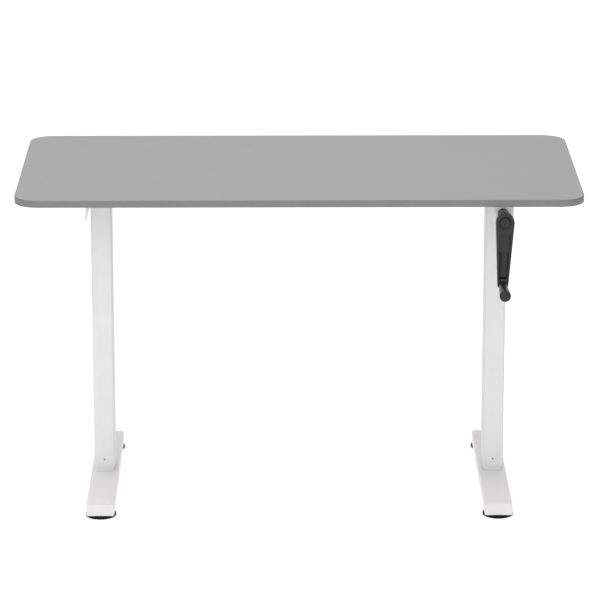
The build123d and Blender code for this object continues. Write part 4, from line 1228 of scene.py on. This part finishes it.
    def sleeve(self) -> None:
        """Turning grip: tapered, with a rounded root and shallow finger rings."""
        low, high = corners_of("grip_sleeve")
        length = high.y - low.y
        root_radius, end_radius = self.root_radius, self.grip_radius
        profile = [(3.6 * MM, 0.0), (root_radius - 1.2 * MM, 0.0), (root_radius - 0.2 * MM, 0.9 * MM)]
        steps = 26
        for index in range(steps + 1):
            share = index / steps
            radius = root_radius + (end_radius - root_radius) * share
            wave = 0.28 * MM * (1 - math.cos(2 * math.pi * 5 * share)) / 2
            if 0.15 < share < 0.95:
                radius -= wave
            profile.append((radius - 0.02 * MM, 1.6 * MM + (length - 2.2 * MM) * share))
        profile += [(end_radius - 0.4 * MM, length - 0.1 * MM), (5.4 * MM, length)]
        flipped = [(radius, -place) for radius, place in profile]
        root = self.at(0, high.y, -self.grip_drop)
        sleeve = turned("grip_sleeve_moulded", flipped, root, Along.Y, 96)
        finish_piece(
            self.tilted(sleeve), FINISH.black_nylon, "grip", ("grip_sleeve",)
        )

    def end_cap(self) -> None:
        """Domed cap with two fine rings, pressed in the end of the grip."""
        low, high = corners_of("grip_end_cap")
        radius = self.grip_radius
        profile = [
            (1.6 * MM, 0.75 * MM),
            (2.6 * MM, 0.3 * MM),
            (3.4 * MM, 0.0),
            (5.0 * MM, 0.08 * MM),
            (5.3 * MM, 0.45 * MM),
            (5.9 * MM, 0.45 * MM),
            (6.2 * MM, 0.2 * MM),
            (7.6 * MM, 0.6 * MM),
            (9.2 * MM, 1.3 * MM),
            (10.6 * MM, 2.4 * MM),
            (11.5 * MM, 3.5 * MM),
            (radius - 0.05 * MM, 4.6 * MM),
            (radius - 0.3 * MM, 4.9 * MM),
            (5.2 * MM, 4.95 * MM),
            (5.2 * MM, high.y - low.y),
        ]
        tip = self.at(0, low.y, -self.grip_drop)
        cap = turned("grip_end_cap_moulded", profile, tip, Along.Y, 96)
        finish_piece(
            self.tilted(cap), FINISH.black_nylon, "grip", ("grip_end_cap",)
        )


# --- Frame under the desktop -----------------------------------------------------------------
@dataclass
class UnderFrame:
    """Folded, welded and cast pieces under the desktop."""

    nodes: dict

    def build(self) -> None:
        """Break the edges of the pressings, and dress what stays."""
        sheet = both_sides("support_arm")
        sheet += ["crank_hanger_plate", "beam_brackets", "crossbeam_channel"]
        sheet += ["crossbeam_end_plates"]
        for name in sheet:
            softened_copy(
                self.nodes[name], FINISH.powder_coat_sheet, "lift_frame", 0.35
            )
        self.dress(FINISH.cast_aluminium, *both_sides("gearbox_housing", "gearbox_cover"))
        self.dress(FINISH.zinc, "desktop_screws", "crossbeam_bolts", "crossbeam_nuts")
        self.dress(FINISH.zinc, "gearbox_screws", "column_top_plates", "column_base_plates")
        self.dress(FINISH.zinc, "foot_bolts", "nut_plates", "drive_nut_screws", "glide_nuts")
        self.dress(FINISH.zinc, "cross_shaft", "cross_shaft_collars", "crank_input_shaft")
        self.dress(FINISH.zinc, "crank_shaft_collar", "crank_hub_screw", "grip_fold_pin")
        self.dress(FINISH.zinc, "grip_spindle")
        self.dress(FINISH.turned_steel, "bush_screws", *both_sides("lead_screw", "crown_gear"))
        self.dress(FINISH.turned_steel, *both_sides("cross_pinion", "thrust_bearing"))
        self.dress(FINISH.turned_steel, "crank_pinion")
        self.dress(FINISH.bronze, "drive_nuts", "cross_shaft_bushes", "input_shaft_bush")
        self.dress(FINISH.acetal, "lower_bushes", "top_sliders")

    def dress(self, finish: Finish, *names: str) -> None:
        """Give CAD nodes whose shape is right a better material."""
        material = finish.build()
        for name in names:
            mesh = self.nodes[name].data
            if not mesh.materials:
                mesh.materials.append(material)
            for index in range(len(mesh.materials)):
                mesh.materials[index] = material
            LOG.info("%s: %s", name, finish.name)


# --- Studio ----------------------------------------------------------------------------------
@dataclass
class Studio:
    """Plain pale floor, soft light and the camera."""

    camera_place: tuple[float, float, float] = (-0.0516, -7.27295, 2.5001)
    camera_down: float = math.radians(15.86)
    camera_left: float = math.radians(0.427)
    lens: float = 207.84
    sensor: float = 36.0
    floor_half: float = 20.0
    floor_glow: float = 0.36
    surround: float = 0.85
    surround_sides: float = 0.3

    def build(self) -> None:
        """Set up the floor, the light and the camera."""
        self.floor()
        self.light()
        self.camera()
        bpy.context.scene.view_settings.view_transform = "Standard"

    def floor(self) -> None:
        """A large plain floor that the desk stands on."""
        start_fresh()
        bpy.ops.mesh.primitive_plane_add(size=2 * self.floor_half, location=(0, 0, 0))
        floor = name_new("studio_floor")
        material = bpy.data.materials.new("white_studio_paper")
        material.use_nodes = True
        shader = material.node_tree.nodes["Principled BSDF"]
        shader.inputs["Base Color"].default_value = to_linear("FCFCFC")
        shader.inputs["Roughness"].default_value = 0.9
        shader.inputs["Specular IOR Level"].default_value = 0.1
        shader.inputs["Emission Color"].default_value = (1.0, 1.0, 1.0, 1.0)
        shader.inputs["Emission Strength"].default_value = self.floor_glow
        floor.data.materials.append(material)

    def light(self) -> None:
        """An even white surround, a soft light overhead and a soft fill in front."""
        world = bpy.data.worlds.new("studio_surround")
        bpy.context.scene.world = world
        world.use_nodes = True
        tree = world.node_tree
        direction = add_node(tree, "ShaderNodeTexCoord").outputs["Generated"]
        across = add_node(tree, "ShaderNodeSeparateXYZ", {}, {"Vector": direction}).outputs["X"]
        sideways = add_node(
            tree, "ShaderNodeMath", {"operation": "ABSOLUTE"}, {"Value": across}
        ).outputs["Value"]
        strength = add_node(
            tree,
            "ShaderNodeMapRange",
            {
                "interpolation_type": "SMOOTHSTEP",
                "From Min": 0.35,
                "From Max": 0.85,
                "To Min": self.surround,
                "To Max": self.surround_sides,
            },
            {"Value": sideways},
        ).outputs["Result"]
        back = tree.nodes["Background"]
        back.inputs["Color"].default_value = (1.0, 1.0, 1.0, 1.0)
        tree.links.new(strength, back.inputs["Strength"])
        self.panel("overhead_light", (-1.0, 0.2, 4.2), (0.0, 0.0, 0.5), 3.0, 34.0)
        self.panel("front_light", (-0.9, -5.2, 2.4), (0.0, 0.0, 0.35), 3.0, 70.0)

    def panel(
        self,
        name: str,
        place: tuple[float, float, float],
        target: tuple[float, float, float],
        size: float,
        watts: float,
    ) -> None:
        """A square soft light.

        Args:
            name: The light's name.
            place: Where it stands.
            target: The point that it faces.
            size: The length of its side.
            watts: Its power.
        """
        data = bpy.data.lights.new(name, "AREA")
        data.shape = "SQUARE"
        data.size = size
        data.energy = watts
        lamp = bpy.data.objects.new(name, data)
        lamp.location = place
        aim = Vector(target) - Vector(place)
        lamp.rotation_euler = aim.to_track_quat("-Z", "Y").to_euler()
        bpy.context.scene.collection.objects.link(lamp)

    def camera(self) -> None:
        """A long lens, a little above the desktop and almost square to it."""
        data = bpy.data.cameras.new("studio_camera")
        data.lens = self.lens
        data.sensor_width = self.sensor
        data.clip_end = 100.0
        camera = bpy.data.objects.new("studio_camera", data)
        camera.location = self.camera_place
        camera.rotation_euler = (math.pi / 2 - self.camera_down, 0, -self.camera_left)
        bpy.context.scene.collection.objects.link(camera)
        bpy.context.scene.camera = camera


_frame: dict = {}


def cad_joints() -> list[dict]:
    """The frame's joints, as the record gives them."""
    return _frame["record"]["behaviour"]["joints"]


def main() -> None:
    """Build the whole desk around the frame."""
    logging.basicConfig(level=logging.INFO, format="%(message)s")
    _frame.update(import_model())
    Studio().build()
    Desktop().build()
    for side in Side:
        Leg(side).build()
    FootCaps().build()
    Crank().build()
    UnderFrame(_frame["nodes"]).build()
    start_fresh()


if __name__ == "__main__":
    main()
